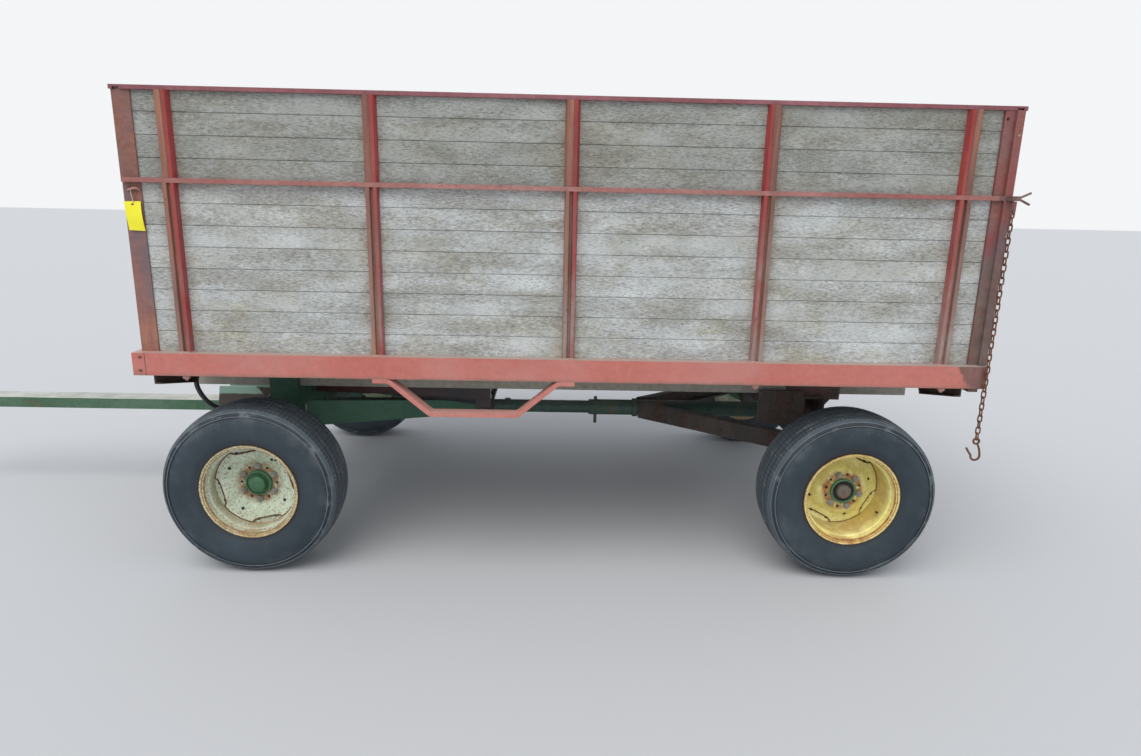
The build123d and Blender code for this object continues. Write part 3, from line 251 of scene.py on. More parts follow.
def stake_paint(name):
    """Side stakes: crimson towards the middle of the box, brown on the other side, dusty low down."""
    n = Nodes(name, 0.6)
    wander = n.sway(0.02, 7, stretch=(1, 1, 0.5))
    inward = n.minus(1.0, n.times(n.behind(0.3), 2.0))
    side = n.plus(n.times(stake_offset(n), inward), wander)
    crimson = n.cloudy(
        5, (0.32, (0.235, 0.03, 0.027)), (0.54, (0.33, 0.042, 0.037)), (0.72, (0.36, 0.08, 0.062)),
        stretch=(2, 2, 0.5), detail=7, rough=0.7,
    )
    brown = n.cloudy(
        8, (0.3, (0.105, 0.048, 0.036)), (0.46, (0.215, 0.09, 0.062)), (0.56, (0.3, 0.125, 0.08)),
        (0.7, (0.47, 0.2, 0.095)), stretch=(2.4, 2.4, 0.16), detail=8, rough=0.7,
    )
    n.colour = n.mix(n.band(side, -0.05, (0.004, 0.0), (0.007, 1.0)), brown, crimson)
    # Painted shade: a dark line along the fold of the stake, between its two colours.
    fold_shade = n.band(side, -0.05, (0.001, 0.0), (0.003, 0.7), (0.005, 0.7), (0.007, 0.0))
    n.lay(fold_shade, (0.085, 0.045, 0.04))
    faded = n.cloudy(3.1, (0.5, 0.0), (0.7, 0.28), detail=6, rough=0.65)
    n.lay(faded, (0.29, 0.13, 0.1))
    low = n.ramp(n.minus(n.axis("Z"), SILL_TOP), (0.0, 1.0), (0.35, 0.55), (0.62, 0.1), (0.7, 0.0))
    low = n.patchy(low, (0.36, 0.15), (0.6, 1.0), 12, stretch=(1, 1, 0.4), detail=7, rough=0.7)
    length = n.math("DIVIDE", n.plus(n.axis("X"), 2.0), 4.0)
    low = n.times(low, n.ramp(length, (0.15, 0.35), (0.55, 1.0)))
    n.lay(low, (0.335, 0.262, 0.23))
    spots = n.cloudy(75, (0.63, 0.0), (0.69, 0.8), rough=0.7)
    n.lay(spots, (0.1, 0.045, 0.032))
    up = n.ramp(n.facing_up(), (0.55, 0.0), (0.95, 0.7))
    n.lay(up, (0.36, 0.26, 0.22))
    rough = n.cloudy(20, (0.3, 0.5), (0.7, 0.8))
    height = n.relief(spots, 0.5, 0.5)
    return n.finish(rough, height, 0.0012, 0.0025)


def post_marks(n):
    """Bluish grey areas on the posts and bright rust near their feet."""
    blue = n.cloudy(
        5.5, (0.46, 0.0), (0.56, 0.8), stretch=(1.2, 1, 0.5), detail=7, rough=0.68, move=(2, 7, 1),
    )
    blue = n.times(blue, n.ramp(n.math("DIVIDE", n.axis("Z"), 2.0), (0.8, 1.0), (0.83, 0.35)))
    n.lay(blue, (0.145, 0.112, 0.128))
    rear = n.behind(1.0)
    red = n.cloudy(7, (0.44, 0.0), (0.56, 0.8), stretch=(1.4, 1, 0.4), detail=6, rough=0.7, move=(4, 1, 3))
    n.lay(n.times(red, rear), (0.27, 0.055, 0.055))
    bare = n.sway(0.25, 9, detail=6)
    bare = n.ramp(n.minus(n.plus(n.axis("Z"), bare), 1.0), (0.4, 0.85), (0.44, 0.0))
    n.lay(
        n.times(bare, rear), n.cloudy(25, (0.3, (0.11, 0.078, 0.066)), (0.7, (0.19, 0.145, 0.125)), detail=6),
    )
    low = n.ramp(n.minus(n.axis("Z"), SILL_TOP), (0.02, 0.85), (0.16, 0.35), (0.4, 0.0))
    low = n.times(low, n.minus(1.0, rear))
    low = n.patchy(low, (0.42, 0.0), (0.55, 1.0), 17, stretch=(1.5, 1, 0.5), detail=7, rough=0.7)
    n.lay(low, (0.4, 0.17, 0.105))


def board_wood(name, along="X", width=BOARD_W, first=SILL_TOP, across="Z", stakes=True):
    """Weathered tongue and groove boards with worn grey white paint, short grain along the boards."""
    n = Nodes(name, 0.85)
    row = n.math("FLOOR", n.math("DIVIDE", n.minus(n.axis(across), first), width))
    wall = n.math("ROUND", n.times(n.axis("Y" if along == "X" else "X"), 0.9))
    seed = n.plus(n.times(row, 7.31), n.times(wall, 3.7))
    chance = n.add("ShaderNodeTexWhiteNoise", "Value", {"W": seed}, noise_dimensions="1D")
    shift = n.add("ShaderNodeCombineXYZ", 0, {"X": seed, "Y": seed, "Z": n.times(seed, 0.37)})
    moved = n.add("ShaderNodeVectorMath", 0, {0: n.where, 1: shift}, operation="ADD")
    fine_way = {"X": (0.16, 1, 1), "Y": (1, 0.16, 1)}[along]
    fleck_way = {"X": (0.34, 1, 1), "Y": (1, 0.34, 1)}[along]
    grain = n.noise(300, stretch=fine_way, rough=0.62, source=moved)
    flecks = n.noise(150, stretch=fleck_way, detail=8, rough=0.76, distort=0.3, source=moved)
    patches = n.noise(10, stretch=(0.26, 0.26, 1.3), detail=7, rough=0.64)
    bare = n.plus(n.times(flecks, 0.58), n.times(patches, 0.42))
    bare = n.plus(bare, n.times(n.minus(chance, 0.5), 0.05))
    mask = n.ramp(bare, (0.45, 0.0), (0.575, 1.0))
    paint = n.cloudy(7.5, (0.3, (0.49, 0.508, 0.495)), (0.7, (0.65, 0.668, 0.655)), source=moved)
    wood = n.ramp(
        grain, (0.32, (0.17, 0.155, 0.13)), (0.5, (0.27, 0.258, 0.225)), (0.68, (0.385, 0.375, 0.34)),
    )
    n.colour = n.mix(n.times(mask, 0.78), paint, wood)
    n.lay(0.75, n.ramp(grain, (0.3, 0.58), (0.56, 1.09)), "MULTIPLY")
    cracks = n.noise(230, stretch=fleck_way, detail=4, move=(3, 1, 2), source=moved)
    n.lay(n.ramp(cracks, (0.58, 0.0), (0.66, 0.55)), (0.15, 0.135, 0.115))
    n.lay(1.0, n.ramp(chance, (0.0, (0.91, 0.905, 0.89)), (1.0, (1.06, 1.06, 1.065))), "MULTIPLY")
    high = n.ramp(n.math("DIVIDE", n.axis("Z"), 2.0), (0.82, 0.0), (0.826, 1.0))
    n.tint(high, (0.7, 0.695, 0.665))
    stain = n.cloudy(7, (0.48, 0.0), (0.64, 0.75), stretch=(0.5, 0.5, 1.1), detail=7, rough=0.66)
    n.tint(stain, (0.85, 0.81, 0.74))
    olive = n.cloudy(
        4.4, (0.5, 0.0), (0.62, 0.75), stretch=(0.7, 0.7, 1.4), detail=7, rough=0.66, move=(1, 4, 2),
    )
    olive = n.times(olive, n.ramp(n.minus(n.axis("Z"), SILL_TOP), (0.05, 1.0), (0.45, 0.35)))
    n.tint(olive, (0.8, 0.75, 0.6))
    if stakes:
        near = n.math("ABSOLUTE", stake_offset(n))
        beside = n.ramp(near, (0.03, 0.55), (0.075, 0.0))
        beside = n.patchy(beside, (0.36, 0.0), (0.62, 1.0), 9)
        n.tint(beside, (0.74, 0.62, 0.53))
    height = n.plus(n.times(grain, 0.8), n.times(mask, -0.35))
    return n.finish(None, height, 0.0016, 0.0012)


def from_axle(n, centre_x):
    """Distance from a wheel's axis, and the height over it."""
    dx = n.minus(n.axis("X"), centre_x)
    dz = n.minus(n.axis("Z"), HUB_Z)
    return n.math("SQRT", n.plus(n.times(dx, dx), n.times(dz, dz))), dx, dz


def rubber(name, centre_x):
    """Old tyre rubber: slate blue, dust on the shoulder, fine sipes across the tread."""
    n = Nodes(name, 0.62)
    radius, dx, dz = from_axle(n, centre_x)
    n.colour = n.cloudy(6, (0.3, (0.013, 0.023, 0.033)), (0.68, (0.031, 0.048, 0.062)), detail=6, rough=0.62)
    dusty = n.cloudy(4.4, (0.5, 0.0), (0.64, 0.7), detail=7, rough=0.7)
    shoulder = n.ramp(radius, (0.215, 0.1), (0.29, 0.4), (0.322, 1.0))
    n.lay(n.times(dusty, shoulder), (0.076, 0.094, 0.104))
    band = n.band(radius, 0.3, (0.338, 0.0), (0.346, 0.45), (0.362, 0.7), (0.372, 0.7))
    scuff = n.patchy(band, (0.36, 0.25), (0.62, 1.0), 24, detail=6, rough=0.7)
    n.lay(scuff, (0.066, 0.086, 0.102))
    crown = n.band(radius, 0.3, (0.352, 0.0), (0.358, 0.75))
    n.lay(crown, (0.068, 0.088, 0.106))
    # Painted highlights: light lines on the ridges of the sidewall's shoulder.
    ridge_highlights = n.band(
        radius, 0.3, (0.3345, 0.0), (0.3355, 0.7), (0.3375, 0.7), (0.3388, 0.0), (0.35, 0.0), (0.3512, 0.8),
        (0.3528, 0.8), (0.354, 0.0),
    )
    n.lay(ridge_highlights, (0.165, 0.185, 0.2))
    shade = n.band(
        radius, 0.3, (0.331, 0.0), (0.3325, 0.75), (0.3338, 0.75), (0.3347, 0.0), (0.3392, 0.0),
        (0.3405, 0.6), (0.344, 0.6), (0.348, 0.0),
    )
    n.lay(shade, (0.01, 0.013, 0.017))
    ring = n.ramp(radius, (0.207, 0.75), (0.222, 0.35), (0.245, 0.0))
    n.lay(ring, (0.014, 0.018, 0.023))
    scratches = n.cloudy(60, (0.7, 0.0), (0.76, 0.35), stretch=(1, 0.3, 1), detail=4)
    n.lay(scratches, (0.15, 0.15, 0.145))
    worn = n.cloudy(15, (0.54, 0.0), (0.64, 0.75), stretch=(1, 1.6, 1), detail=7, rough=0.68, move=(3, 2, 8))
    worn = n.times(worn, n.band(radius, 0.3, (0.325, 0.0), (0.34, 1.0)))
    n.lay(worn, (0.175, 0.2, 0.215))
    across = n.math("ABSOLUTE", n.minus(n.math("ABSOLUTE", n.axis("Y")), HALF_TRACK))
    tread = n.band(radius, 0.3, (0.35, 0.0), (0.354, 1.0))
    # Painted highlights along the edges of the tread ribs.
    rib_edge_highlights = n.band(
        across, 0.0, (0.0165, 0.0), (0.018, 0.8), (0.019, 0.0), (0.027, 0.0), (0.028, 0.8), (0.03, 0.0),
        (0.0555, 0.0), (0.057, 0.8), (0.058, 0.0), (0.0655, 0.0), (0.0665, 0.8), (0.069, 0.0), (0.0965, 0.0),
        (0.0982, 0.9), (0.0999, 0.0),
    )
    n.lay(n.times(rib_edge_highlights, tread), (0.21, 0.235, 0.255))
    # Painted shade: the grooves between the tread ribs laid nearly black.
    grooves = n.band(
        across, 0.0, (0.0186, 0.0), (0.0192, 1.0), (0.0264, 1.0), (0.027, 0.0), (0.057, 0.0), (0.0576, 1.0),
        (0.0652, 1.0), (0.0658, 0.0),
    )
    n.lay(n.times(grooves, tread), (0.008, 0.01, 0.012))
    rings = n.math("SINE", n.times(radius, 900.0))
    angle = n.math("ARCTAN2", dz, dx)
    sipes = n.ramp(n.math("SINE", n.times(angle, 120.0)), (0.6, 0.0), (0.9, 1.0))
    sipes = n.times(sipes, n.band(radius, 0.3, (0.3615, 0.0), (0.3635, 1.0)))
    n.lay(n.times(sipes, 0.5), (0.014, 0.018, 0.022))
    height = n.plus(n.times(rings, 0.12), n.times(n.noise(160, detail=4), 0.5))
    height = n.minus(height, n.times(sipes, 0.9))
    return n.finish(n.cloudy(12, (0.3, 0.5), (0.7, 0.74)), height, 0.0009)


def rim_paint(name, centre_x, base, faded, rust, spots=0.7):
    """Wheel paint with rings of rust: round the nuts (with painted shade), at the steps of the lip, and more of
    it lower down.
    """
    n = Nodes(name, 0.42)
    radius, dx, dz = from_axle(n, centre_x)
    n.colour = n.mix(n.cloudy(6, (0.36, 0.0), (0.66, 1.0)), base, faded)
    n.lay(1.0, n.cloudy(42, (0.3, 0.86), (0.7, 1.1), detail=6, rough=0.7), "MULTIPLY")
    rust_colour = n.cloudy(60, (0.36, rust[0]), (0.54, rust[1]), (0.74, rust[2]), detail=7, rough=0.75)
    # Round the nuts: rust, and painted shade darkening about them.
    nuts = n.ramp(radius, (0.052, 0.25), (0.062, 0.95), (0.082, 0.95), (0.104, 0.0))
    nuts = n.patchy(nuts, (0.36, 0.2), (0.5, 1.0), 34, detail=6, rough=0.7)
    n.lay(nuts, n.cloudy(50, (0.36, rust[0]), (0.62, rust[1]), detail=6, rough=0.7))
    steps = n.band(
        radius, 0.15, (0.176, 0.0), (0.1785, 0.55), (0.181, 0.1), (0.1895, 0.1), (0.191, 0.95),
        (0.1935, 0.95), (0.195, 0.2), (0.1975, 0.2), (0.1985, 0.85), (0.2, 0.85), (0.201, 0.15),
        (0.205, 0.15), (0.2075, 0.95),
    )
    steps = n.patchy(steps, (0.33, 0.3), (0.5, 1.0), 20, detail=6, rough=0.7)
    n.lay(steps, rust_colour)
    under = n.ramp(n.plus(dz, 0.5), (0.29, 0.85), (0.38, 0.0))
    under = n.times(under, n.ramp(radius, (0.165, 0.0), (0.19, 1.0)))
    under = n.patchy(under, (0.42, 0.0), (0.56, 1.0), 17, detail=7, rough=0.7)
    n.lay(under, rust_colour)
    dots = n.cloudy(130, (spots - 0.07, 0.0), (spots - 0.03, 0.9), rough=0.7)
    n.lay(dots, rust_colour)
    height = n.relief(dots, 0.4, 0.4)
    return n.finish(n.cloudy(14, (0.3, 0.34), (0.7, 0.6)), height, 0.001)


def rail_marks(n):
    """The rail's rear end with the fork is bare and dark."""
    end = n.ramp(n.minus(n.axis("X"), 1.0), (0.66, 0.0), (0.675, 0.8))
    n.lay(end, n.cloudy(40, (0.35, (0.07, 0.052, 0.048)), (0.65, (0.19, 0.13, 0.115))))


def hinge_marks(n):
    """The hinge plates under the rear of the bed are dark maroon."""
    under = n.math("GREATER_THAN", n.math("ABSOLUTE", n.axis("Y")), 0.531)
    rear = n.behind(1.07)
    n.lay(
        n.times(under, rear), n.cloudy(18, (0.3, (0.07, 0.032, 0.03)), (0.7, (0.145, 0.07, 0.062)), detail=6),
    )


def hoist_marks(n):
    """Dark grease patches over the hoist, and its rear end laid nearly black."""
    rear = n.ramp(n.plus(n.axis("X"), 1.0), (0.36, 0.0), (0.4, 0.85))
    grease = n.cloudy(6, (0.44, 0.0), (0.56, 0.8), stretch=(0.4, 1, 1), detail=6)
    n.lay(grease, (0.022, 0.018, 0.019))
    n.lay(rear, (0.02, 0.019, 0.022))


def plate_highlight_marks(n):
    """Painted highlight: pale green laid over the upper part of the steering plate."""
    wander = n.sway(0.03, 14, stretch=(0.5, 1, 1), detail=6)
    upper = n.band(n.plus(n.axis("Z"), wander), 0.5, (0.538, 0.0), (0.545, 0.85))
    n.lay(upper, (0.24, 0.38, 0.3))


MATERIALS = {}
OCHRE_RUST = ((0.17, 0.075, 0.025), (0.36, 0.19, 0.06), (0.5, 0.33, 0.12))
ORANGE_RUST = ((0.19, 0.065, 0.02), (0.42, 0.17, 0.04), (0.58, 0.29, 0.075))
RIM_PAINTS = (
    ("cream_", "rim_cream_", (0.51, 0.59, 0.43), (0.67, 0.74, 0.6), OCHRE_RUST, 0.62),
    ("cream_edge_", "rim_edge_cream_", (0.58, 0.56, 0.32), (0.68, 0.69, 0.48), OCHRE_RUST, 0.59),
    ("yellow_", "rim_yellow_", (0.86, 0.775, 0.25), (0.93, 0.885, 0.41), ORANGE_RUST, 0.68),
    ("yellow_edge_", "rim_edge_yellow_", (0.78, 0.67, 0.22), (0.86, 0.79, 0.37), ORANGE_RUST, 0.63),
)


def paint(key, *args, **more):
    MATERIALS[key] = worn_paint(*args, **more)


def build_materials():
    m = MATERIALS
    m["side_stake"] = stake_paint("side_stake_paint")
    paint("stake", "stake_paint", (0.27, 0.07, 0.062), (0.33, 0.14, 0.118), rust=0.5, scale=6,
          streak=(1.6, 1.6, 0.14), rusts=((0.115, 0.048, 0.036), (0.24, 0.095, 0.062), (0.38, 0.16, 0.09)))
    paint("post", "post_paint", (0.235, 0.098, 0.078), (0.3, 0.128, 0.095), rust=0.5, scale=6,
          streak=(1.4, 1.4, 0.3), extra=post_marks,
          rusts=((0.105, 0.055, 0.047), (0.26, 0.105, 0.068), (0.43, 0.165, 0.085)))
    paint("rail", "rail_paint", (0.33, 0.115, 0.098), (0.4, 0.19, 0.165), rust=0.3, scale=8, streak=(0.2, 1, 1),
          dust=0.6, dust_tone=(0.42, 0.26, 0.225), extra=rail_marks,
          rusts=((0.13, 0.055, 0.042), (0.24, 0.095, 0.065), (0.36, 0.16, 0.1)))
    paint("cap", "cap_paint", (0.235, 0.072, 0.082), (0.3, 0.115, 0.125), rust=0.24, scale=8,
          streak=(0.2, 1, 1), dust=0.45, dust_tone=(0.34, 0.2, 0.2),
          rusts=((0.11, 0.042, 0.038), (0.21, 0.075, 0.062), (0.33, 0.13, 0.095)))
    paint("sill", "sill_paint", (0.505, 0.145, 0.112), (0.535, 0.172, 0.138), rust=0.03, scale=4,
          streak=(0.35, 1, 1), dust=0.96, dust_tone=(0.385, 0.335, 0.29), chips=0.25, roughness=0.5, mottle=0.1,
          extra=sill_marks)
    # The step's upward faces are laid a lighter pink than its sides.
    paint("step", "step_paint", (0.52, 0.175, 0.14), (0.58, 0.25, 0.205), rust=0.14, scale=7, dust=0.7,
          dust_tone=(0.58, 0.36, 0.31), mottle=0.12)
    paint("bed", "bed_paint", (0.3, 0.27, 0.22), (0.36, 0.33, 0.27), rust=0.12, scale=4, streak=(0.3, 1, 1),
          extra=hinge_marks, rusts=((0.05, 0.03, 0.022), (0.12, 0.06, 0.035), (0.22, 0.1, 0.05)))
    paint("cross", "cross_paint", (0.065, 0.045, 0.038), (0.105, 0.07, 0.055), rust=0.5,
          rusts=((0.035, 0.022, 0.018), (0.1, 0.045, 0.028), (0.2, 0.08, 0.04)))
    paint("green", "gear_green", (0.018, 0.074, 0.038), (0.03, 0.1, 0.058), rust=0.2, scale=5, dust=0.65,
          dust_tone=(0.17, 0.185, 0.14), roughness=0.45)
    # Painted light: the gear green made brighter for the front hounds, to lift them out of the shade they sit
    # in.
    paint("hound", "hound_green", (0.026, 0.115, 0.058), (0.042, 0.145, 0.082), rust=0.0, scale=5, dust=0.6,
          dust_tone=(0.16, 0.2, 0.15), chips=0.25, roughness=0.45, mottle=0.12)
    paint("tongue", "tongue_green", (0.05, 0.125, 0.065), (0.09, 0.17, 0.105), rust=0.2, scale=9,
          streak=(0.3, 1, 1), dust=1.0, dust_tone=(0.5, 0.5, 0.45), roughness=0.5)
    # The steering plate's pale green top tone is a painted highlight.
    paint("mint", "plate_pale_green", (0.05, 0.036, 0.03), (0.08, 0.055, 0.043), rust=0.2, scale=9, dust=1.0,
          dust_tone=(0.27, 0.42, 0.33), extra=plate_highlight_marks)
    paint("rusty", "gear_rusty", (0.062, 0.056, 0.05), (0.09, 0.072, 0.06), rust=0.55, scale=5, dust=0.6,
          dust_tone=(0.2, 0.185, 0.155), roughness=0.7,
          rusts=((0.034, 0.025, 0.022), (0.078, 0.048, 0.039), (0.13, 0.078, 0.058)))
    paint("teal", "reach_green", (0.03, 0.075, 0.058), (0.075, 0.125, 0.095), rust=0.38, scale=6, dust=0.7,
          dust_tone=(0.22, 0.25, 0.2))
    paint("hoist", "hoist_maroon", (0.105, 0.016, 0.02), (0.15, 0.03, 0.032), rust=0.1, scale=6,
          extra=hoist_marks, dust=0.5, dust_tone=(0.2, 0.14, 0.12), roughness=0.42)
    paint("barrel", "cylinder_black", (0.018, 0.018, 0.02), (0.035, 0.034, 0.035), rust=0.25, scale=6, dust=0.5,
          dust_tone=(0.15, 0.14, 0.12), roughness=0.4)
    for x in (FRONT_AXLE_X, REAR_AXLE_X):
        end = end_of(x)
        for key, name, base, faded, rust, spots in RIM_PAINTS:
            m[key + end] = rim_paint(name + end, x, base, faded, rust, spots)
        m["tyre_" + end] = rubber("tyre_rubber_" + end, x)
    paint("hub", "hub_green", (0.045, 0.135, 0.06), (0.075, 0.185, 0.09), rust=0.22, scale=24, roughness=0.38,
          bevel=0)
    paint("cap_grey", "hub_cap_grey", (0.115, 0.098, 0.08), (0.17, 0.145, 0.118), rust=0.4, scale=20,
          roughness=0.5, bevel=0)
    paint("bolt", "bolt_steel", (0.22, 0.215, 0.19), (0.33, 0.325, 0.29), rust=0.3, scale=40, bevel=0)
    paint("rust", "bare_rust", (0.125, 0.055, 0.034), (0.19, 0.085, 0.05), rust=0.8, scale=30,
          rusts=((0.06, 0.028, 0.018), (0.16, 0.065, 0.035), (0.3, 0.125, 0.065)), bevel=0)
    paint("orange", "orange_rust", (0.45, 0.17, 0.04), (0.55, 0.26, 0.07), rust=0.5, scale=60,
          rusts=ORANGE_RUST, bevel=0)
    # Painted shade for the insides of holes, slots and the cap's gap; also the dark lines of the sill's seams.
    paint("hole", "dark_inside", (0.012, 0.01, 0.009), (0.022, 0.018, 0.015), rust=0.2, bevel=0)
    paint("weld", "weld_bead", (0.42, 0.2, 0.165), (0.5, 0.28, 0.235), rust=0.2, scale=30, bevel=0)
    m["boards"] = board_wood("side_board_wood")
    m["end_boards"] = board_wood("end_board_wood", along="Y", stakes=False)
    m["floor"] = board_wood("floor_wood", width=FLOOR_BOARD_W, first=-SILL_FACE, across="Y", stakes=False)
    n = Nodes("ram_steel", 0.28, 0.9)
    n.colour = n.cloudy(12, (0.3, (0.42, 0.41, 0.4)), (0.7, (0.6, 0.6, 0.59)), stretch=(0.2, 1, 1))
    m["ram"] = n.finish(n.cloudy(40, (0.3, 0.2), (0.7, 0.42)), n.noise(90), 0.0002, 0.002)
    n = Nodes("plated_gland", 0.4, 0.7)
    n.colour = n.cloudy(60, (0.35, (0.2, 0.17, 0.12)), (0.65, (0.42, 0.39, 0.33)))
    m["gland"] = n.finish(None, n.noise(200), 0.0003, 0.001)
    for key, name, roughness, scale, low, high, bumps in (
        ("hose", "hose_rubber", 0.42, 30, (0.008, 0.008, 0.009), (0.022, 0.022, 0.024), 300),
        ("tag", "tag_yellow", 0.45, 14, (0.86, 0.76, 0.012), (0.93, 0.85, 0.03), 60),
        ("tie", "tie_white", 0.9, 400, (0.45, 0.44, 0.42), (0.68, 0.67, 0.65), 900),
    ):
        n = Nodes(name, roughness)
        n.colour = n.cloudy(scale, (0.3, low), (0.7, high))
        m[key] = n.finish(None, n.noise(bumps), 0.0004)


build_materials()

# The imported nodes, by the material that they wear
LOOKS = {
    "green": "front_axle front_bolster left_knuckle right_knuckle left_tie_rod right_tie_rod",
    "hound": "front_hounds",
    "mint": "steering_plate",
    "tongue": "tongue",
    "rusty": "hitch_clevis rear_axle rear_bolster rear_hounds",
    "teal": "reach_tube reach_sleeve",
    "hoist": "hoist_frame",
    "barrel": "hoist_barrels hoist_stages",
    "ram": "hoist_rams",
    "bed": "main_sills",
    "cross": "cross_members lift_lugs",
    "sill": "side_sills end_sills",
    "side_stake": "side_stakes",
    "stake": "end_stakes gate_frame gate_ears",
    "post": "corner_posts",
    "rail": "tie_rail",
    "cap": "top_rail",
    "step": "step",
    "boards": "side_boards",
    "end_boards": "front_boards rear_boards gate_boards",
    "floor": "floor",
    "rust": "gate_chain",
    "hose": "hose",
    "gland": "hose_glands",
}


def wear(node, look):
    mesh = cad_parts[node].data
    mesh.materials.clear()
    mesh.materials.append(MATERIALS[look])


for look, nodes in LOOKS.items():
    for node in nodes.split():
        wear(node, look)
for wheel, x, _, rim_look, *_ in WHEELS:
    wear(wheel + "_tyre", "tyre_" + end_of(x))
    wear(wheel + "_rim", rim_look + "_" + end_of(x))
    wear(wheel + "_hub", "hub")


# Mesh helpers
def show(name, data):
    obj = bpy.data.objects.new(name, data)
    scene.collection.objects.link(obj)
    return obj


def make(name, verts, faces, look, body="bed", slot="red_paint", smooth=35, replaces=()):
    """Adds a piece that rides on a body. Edges bent by more than smooth degrees stay sharp."""
    mesh = bpy.data.meshes.new(name)
    mesh.from_pydata([(v[0] + SHIFT, v[1], v[2]) for v in verts], [], faces)
    mesh.validate()
    if smooth:
        mesh.shade_smooth()
        mesh.set_sharp_from_angle(angle=math.radians(smooth))
    mesh.materials.append(MATERIALS[look])
    obj = show(name, mesh)
    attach(obj, body)
    if replaces:
        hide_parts(*replaces)
    return obj


class Lot:
    """Vertices and faces gathered into one mesh."""

    def __init__(self):
        self.verts = []
        self.faces = []

    def take(self, shape, matrix=None):
        verts, faces = shape
        base = len(self.verts)
        self.verts.extend((matrix @ Vector(v)) if matrix else Vector(v) for v in verts)
        self.faces.extend(tuple(base + i for i in face) for face in faces)

    def make(self, name, *args, **more):
        return make(name, self.verts, self.faces, *args, **more)


def piece(name, shape, look, *args, matrix=None, **more):
    """A piece made of one shape."""
    lot = Lot()
    lot.take(shape, matrix)
    return lot.make(name, look, *args, **more)


def around(radius, y, turn):
    """A point on a circle about the Y axis."""
    return radius * math.cos(turn), y, radius * math.sin(turn)


def arc(x, y, z, radius, start, sweep, steps):
    """Points of an arc in the XZ plane, angles in degrees."""
    turns = [math.radians(start + sweep * k / steps) for k in range(steps + 1)]
    return [Vector((x + radius * math.cos(turn), y, z + radius * math.sin(turn))) for turn in turns]


def skin(rings, sides, loop=True, wrap=True):
    """Faces over rings of points. Loop joins the last ring to the first; without it, the ends get caps."""
    faces = []
    for i in range(rings if loop else rings - 1):
        j = (i + 1) % rings
        for k in range(sides if wrap else sides - 1):
            q = (k + 1) % sides
            faces.append((i * sides + k, i * sides + q, j * sides + q, j * sides + k))
    if not loop:
        faces.append(tuple(reversed(range(sides))))
        faces.append(tuple((rings - 1) * sides + k for k in range(sides)))
    return faces


def lathe(profile, steps, closed=True):
    """Turns (radius, y) points about the Y axis."""
    verts = []
    for step in range(steps):
        verts.extend(around(r, y, 2 * math.pi * step / steps) for r, y in profile)
    return verts, skin(steps, len(profile), wrap=closed)


def tube_along(points, radius, sides=8, closed=False, axis=(0, 1, 0)):
    """A round bar along points that lie in a plane across the given axis, or close to it."""
    verts = []
    count = len(points)
    across = Vector(axis)
    for i, point in enumerate(points):
        if closed:
            ahead = points[(i + 1) % count] - points[i - 1]
        else:
            ahead = points[min(i + 1, count - 1)] - points[max(i - 1, 0)]
        ahead.normalize()
        outward = ahead.cross(across).normalized()
        for k in range(sides):
            turn = 2 * math.pi * k / sides
            verts.append(point + outward * (radius * math.cos(turn)) + across * (radius * math.sin(turn)))
    return verts, skin(count, sides, loop=closed)


def spun(points, sides=12):
    """A solid of revolution about Z from (radius, z) points, closed by flat ends."""
    verts = []
    for r, z in points:
        for k in range(sides):
            turn = 2 * math.pi * (k + 0.5) / sides
            verts.append((r * math.cos(turn), r * math.sin(turn), z))
    return verts, skin(len(points), sides, loop=False)


def nut(size, tall):
    """Hexagon nut with a stud end through it, standing on z = 0."""
    hexagon = [(size, -0.002), (size, tall * 0.8), (size * 0.9, tall), (size * 0.5, tall)]
    stud = [(size * 0.48, tall - 0.001), (size * 0.48, tall + size * 0.35), (size * 0.36, tall + size * 0.5)]
    lot = Lot()
    lot.take(spun(hexagon, 6))
    lot.take(spun(stud, 10))
    return lot.verts, lot.faces


def dome(size, tall):
    """Round bolt head, standing on z = 0."""
    return spun([(size, -0.002), (size, tall * 0.25), (size * 0.82, tall * 0.72), (size * 0.45, tall)], 14)


def pose_to(place, direction):
    """Matrix that puts +Z of a small part along direction, at place."""
    turn = Vector(direction).to_track_quat("Z", "Y").to_matrix().to_4x4()
    return Matrix.Translation(Vector(place)) @ turn


# Tyres
CROWN_R = 0.372
TYRE_MAX_R = 0.3718
GROOVE_DEPTH = 0.01
SIDEWALL = (
    # from the bead to the shoulder: (radius, distance out from the middle plane)
    (0.2085, 0.1035), (0.213, 0.1055), (0.219, 0.1085), (0.223, 0.1085), (0.226, 0.1105), (0.242, 0.1155),
    (0.26, 0.1195), (0.28, 0.1225), (0.3, 0.1235), (0.318, 0.1215), (0.3325, 0.115), (0.335, 0.119),
    (0.3385, 0.1185), (0.3405, 0.1135), (0.349, 0.1075), (0.351, 0.1105), (0.355, 0.109), (0.3615, 0.101),
)
RIBS = ((-0.0985, -0.066), (-0.0575, -0.027), (-0.019, 0.019), (0.027, 0.0575), (0.066, 0.0985))
TYRE_INSIDE = [(0.1925, 0.1015), (0.185, 0.062), (0.185, -0.062), (0.1925, -0.1015)]


def crown(y):
    return CROWN_R - 0.9 * y * y


